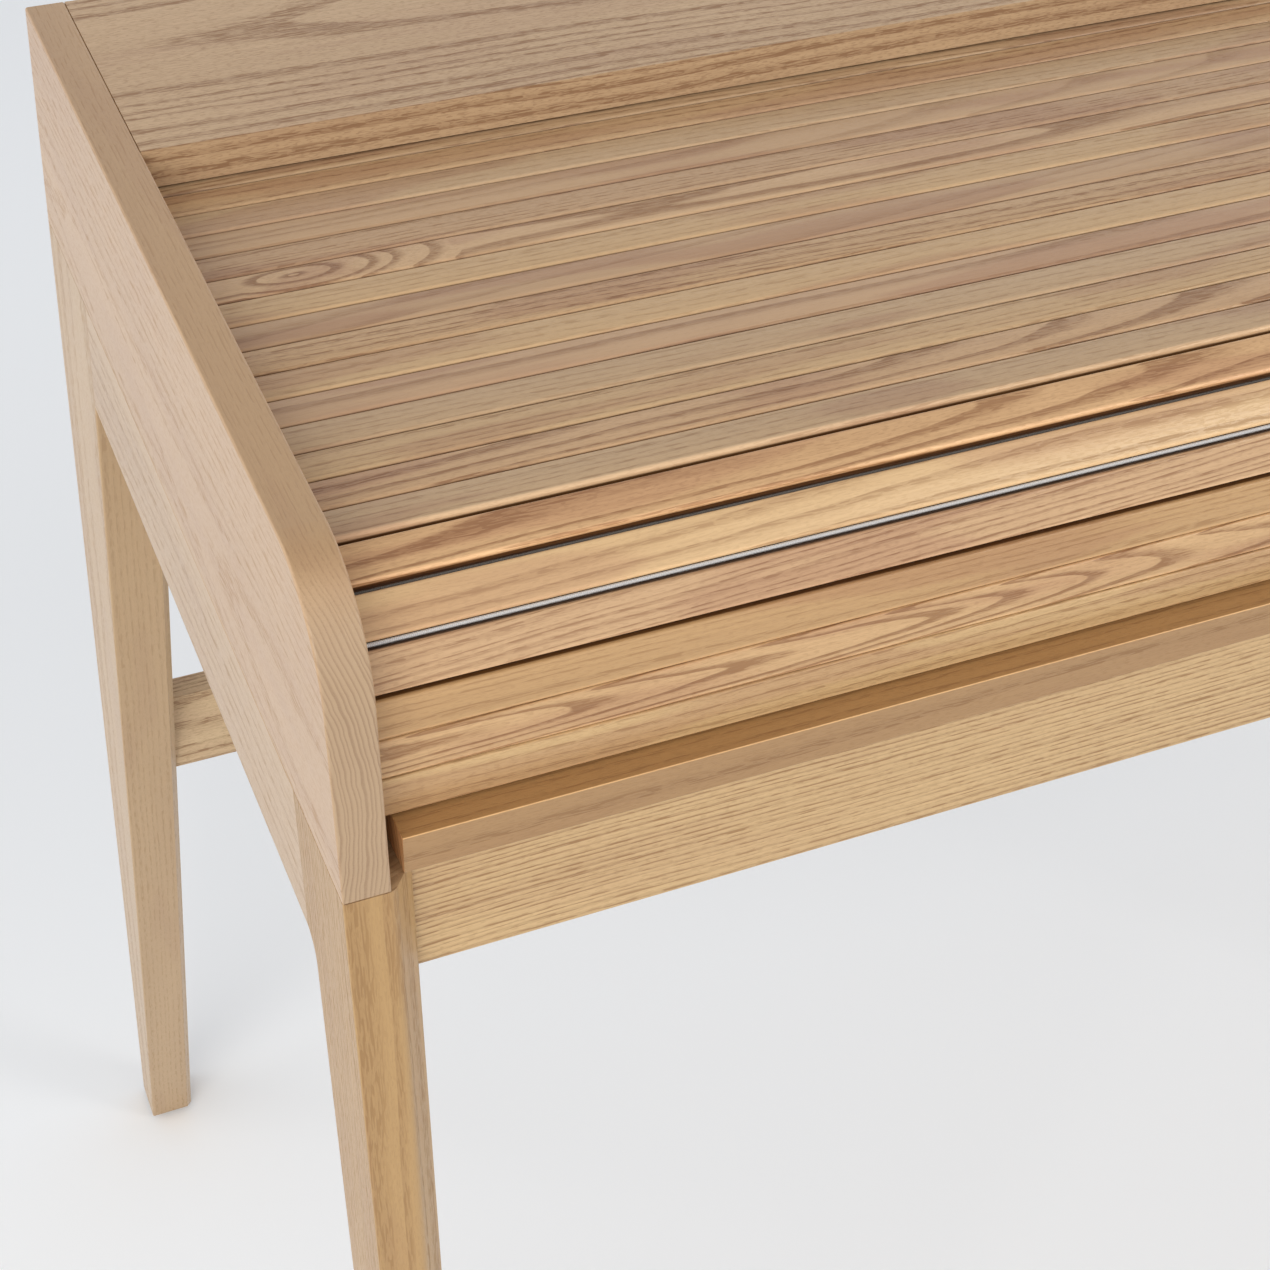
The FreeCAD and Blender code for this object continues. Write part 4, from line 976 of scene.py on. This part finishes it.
# Painted shade for the canvas down in the narrow joints of the corner.
JOINT_SHADE_TINT = (0.34, 0.31, 0.28)
THREAD_SWAY, SOIL_SCALE = (0.35, 0.35, 0.35), (60, 60, 60)
OVER_HEIGHT, CROSSING_HEIGHT = 0.7, 0.5
CANVAS_BUMP, CANVAS_DEPTH = 0.6, 0.0002
CANVAS_ROUGHNESS, CANVAS_GLOSS = 0.9, 0.25


def thread_wave(group, counted):
    """A thread's height across its width: high in its middle, nothing at its edges."""
    turn = times(group, counted, math.pi)
    return sum_up(group, "ABSOLUTE", sum_up(group, "SINE", turn))


def build_canvas_weave():
    group, given, result = node_group(
        "canvas_weave", "ShaderNodeTree",
        [("Place", "Vector", (0, 0, 0)), ("Thread", "Float", THREAD)],
        [("Color", "Color"), ("Height", "Float")])
    counted = scaled(group, given["Place"], sum_up(group, "DIVIDE", 1.0, given["Thread"]))
    counted = vector(group, "ADD", counted, sway(group, counted, THREAD_SWAY))
    along = parts(group, counted)
    warp, weft = thread_wave(group, along["X"]), thread_wave(group, along["Y"])
    square = plus(group, sum_up(group, "FLOOR", along["X"]), sum_up(group, "FLOOR", along["Y"]))
    over = sum_up(group, "ABSOLUTE", sum_up(group, "MODULO", square, 2.0))
    high = add(group, "ShaderNodeMix", {0: over, 2: warp, 3: weft}, data_type="FLOAT").outputs[0]
    low = times(group, times(group, warp, weft), CROSSING_HEIGHT)
    height = plus(group, times(group, high, OVER_HEIGHT), low)
    soil = noise(group, given["Place"], SOIL_SCALE, 3.0)
    # Where the weave lies low between threads the cloth is darker: painted shade.
    cloth = mix(group, ramp(group, height, 0.2, 1.0), CANVAS_LOW, CANVAS_HIGH)
    cloth = mix(group, ramp(group, soil, 0.35, 0.8, 0.0, 0.25), cloth, CANVAS_SOIL)
    fill(group, result, {"Color": cloth, "Height": height})
    return group


def canvas(name):
    """Matt canvas, woven on the UV map."""
    material, tree, shader = new_material(name)
    place = add(tree, "ShaderNodeTexCoord").outputs["UV"]
    weave = add(tree, "ShaderNodeGroup", {"Place": place}, node_tree=CANVAS_WEAVE).outputs
    fill(tree, shader, {"Base Color": weave["Color"],
                        "Normal": bumped(tree, weave["Height"], CANVAS_BUMP, CANVAS_DEPTH),
                        "Roughness": CANVAS_ROUGHNESS, "Specular IOR Level": CANVAS_GLOSS})
    return material


CANVAS_WEAVE = build_canvas_weave()
canvas_cloth = canvas("canvas_cloth")
# A copy of the canvas darkened with painted shade, for the narrow joints.
canvas_shaded = repaint(canvas("canvas_shaded"), lambda tree, colour: tinted(tree, colour, JOINT_SHADE_TINT))
print("canvas ready")

# %% [markdown]
# ## Stretch the canvas
#
# Each hinged body carries its own length of canvas, cut on a slant at the folds so that two
# lengths meet on the hinge line. In the widest joint a little slack stands up as a round loop.
# That length is baked where it lies instead of being carried by a body.

# %% Stretch the canvas lengths
CANVAS_HALF_WIDTH = 0.5355
CANVAS_THICKNESS = 0.0004
CANVAS_CLEAR = 0.00003
CANVAS_CREASE = math.radians(40)
LOOP_CENTRE, LOOP_RADIUS, LOOP_FOOT = (0.00045, 0.00245), 0.00054, -0.0009
LOOP_ANGLES = [math.radians(-50 + 20 * step) for step in range(15)]
# These lengths lie in the narrow joints and take the copy darkened with painted shade.
SHADED_BODIES = ("curtain_bend_1", "curtain_bend_2")


def round_loop(radius):
    """Points around the head of a loop of slack cloth, from its rear side over to its front."""
    return [(LOOP_CENTRE[0] + radius * math.cos(angle), LOOP_CENTRE[1] + radius * math.sin(angle))
            for angle in LOOP_ANGLES]


def canvas_rows(length, rear_turn, front_turn, slack):
    """A length's section as two lists, its face and its inside, both from rear to front."""
    rear_slant, front_slant = (math.tan(turn / 2) * CANVAS_THICKNESS
                               for turn in (rear_turn, front_turn))
    face = [(-CANVAS_CLEAR, -CANVAS_CLEAR)]
    inside = [(-rear_slant - CANVAS_CLEAR, -CANVAS_THICKNESS)]
    if slack:
        face += round_loop(LOOP_RADIUS) + [(LOOP_FOOT, -CANVAS_CLEAR)]
        inside += round_loop(LOOP_RADIUS - CANVAS_THICKNESS) + [(LOOP_FOOT, -CANVAS_THICKNESS)]
    face.append((CANVAS_CLEAR - length, -CANVAS_CLEAR))
    inside.append((front_slant + CANVAS_CLEAR - length, -CANVAS_THICKNESS))
    return face, inside


def canvas_length(name, place, face, inside, cloth):
    """A thin strip behind a run of slats; gives the piece and how long its face was cut."""
    half, count = len(face), len(face) * 2
    rows = face + inside[::-1]
    cut = [0.0]
    for pair in zip(face[:-1], face[1:]):
        cut.append(cut[-1] + math.dist(*pair))
    ends = (-CANVAS_HALF_WIDTH, CANVAS_HALF_WIDTH)
    vertices = [(x, y, z) for x in ends for y, z in rows]
    faces = [(step, (step + 1) % count, (step + 1) % count + count, step + count)
             for step in range(count)]
    for shift in (0, count):
        faces += [(shift + step, shift + step + 1, shift + count - 2 - step,
                   shift + count - 1 - step) for step in range(half - 1)]
    piece = plain_mesh(name, vertices, faces)
    layer = piece.data.uv_layers.new(name="UVMap")
    for loop in piece.data.loops:
        row = loop.vertex_index % count
        layer.data[loop.index].uv = (vertices[loop.vertex_index][0],
                                     -cut[min(row, count - 1 - row)])
    point_outwards(piece.data)
    piece.data.transform(place)
    piece.data.shade_smooth()
    piece.data.set_sharp_from_angle(angle=CANVAS_CREASE)
    piece.data.materials.append(cloth)
    return piece, cut[-1]


lengths = {body: SLAT_PITCH for body in curtain}
lengths["curtain_top"] = SLAT_PITCH * TOP_SLATS
lengths["curtain_front"] = SLAT_PITCH * (FRONT_SLATS - 1) + last_pitch
for body, (hinge, tip, _) in curtain.items():
    place = hinge_place(hinge, tip)
    cloth = canvas_shaded if body in SHADED_BODIES else canvas_cloth
    rear_turn = 0.0 if body == "curtain_top" else fold_turn
    front_turn = 0.0 if body == "curtain_front" else fold_turn
    face, inside = canvas_rows(lengths[body], rear_turn, front_turn, body == "curtain_bend_3")
    strip, cut = canvas_length(f"cloth_{body}", place, face, inside, cloth)
    if body == "curtain_bend_3":
        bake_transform(strip)
    else:
        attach(strip, body)
    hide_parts(body.replace("curtain", "canvas"))
    print(strip.name, "was cut", round(cut * 1000, 1), "mm long")

# %% [markdown]
# ## Small parts
#
# The batten behind the last slat and the dowels are plain wood, the screws are zinc-plated
# steel and the feet stand on moulded nylon glides. The steel gets fine turning marks and the
# nylon a faint mottled grain, so that neither is one flat colour.

# %% Dress the small parts
MARK_DEPTH = 0.0001
STEEL_DARK, STEEL_LIGHT = (0.52, 0.53, 0.55, 1), (0.66, 0.66, 0.67, 1)
NYLON_DARK, NYLON_LIGHT = (0.62, 0.60, 0.56, 1), (0.72, 0.70, 0.66, 1)


def small_part(name, marks, cloud, rough, relief):
    """Wire fine marks into a material's roughness and relief; gives it and a slow cloud."""
    material, tree, shader = new_material(name)
    place = add(tree, "ShaderNodeTexCoord").outputs["Object"]
    fine = noise(tree, place, *marks)
    fill(tree, shader, {"Roughness": ramp(tree, fine, *rough),
                        "Normal": bumped(tree, fine, relief, MARK_DEPTH)})
    return material, tree, shader, noise(tree, place, *cloud)


def steel(name):
    material, tree, shader, cloud = small_part(name, ((2600, 300, 300), 3.0), ((140,) * 3, 2.0),
                                               (0.2, 0.8, 0.28, 0.48), 0.2)
    fill(tree, shader, {"Base Color": mix(tree, cloud, STEEL_DARK, STEEL_LIGHT), "Metallic": 1.0})
    return material


def nylon(name):
    material, tree, shader, cloud = small_part(name, ((1500,) * 3, 2.0), ((90,) * 3, 3.0),
                                               (0.3, 0.7, 0.42, 0.60), 0.25)
    cloud = ramp(tree, cloud, 0.3, 0.7)
    fill(tree, shader, {"Base Color": mix(tree, cloud, NYLON_DARK, NYLON_LIGHT)})
    return material


dress("lead_rail", ash("ash_lead_rail", "x", (0.2, -0.18, 0.70)))
dress("panel_dowels", ash("beech_dowels", "z", (0.56, 0.02, 0.75), ring=0.0018, contrast=0.5,
                          pale=(0.56, 0.36, 0.22)))
dress("runner_screws", steel("zinc_steel"))
dress("foot_glides", nylon("nylon_glides"))
print("small parts dressed")
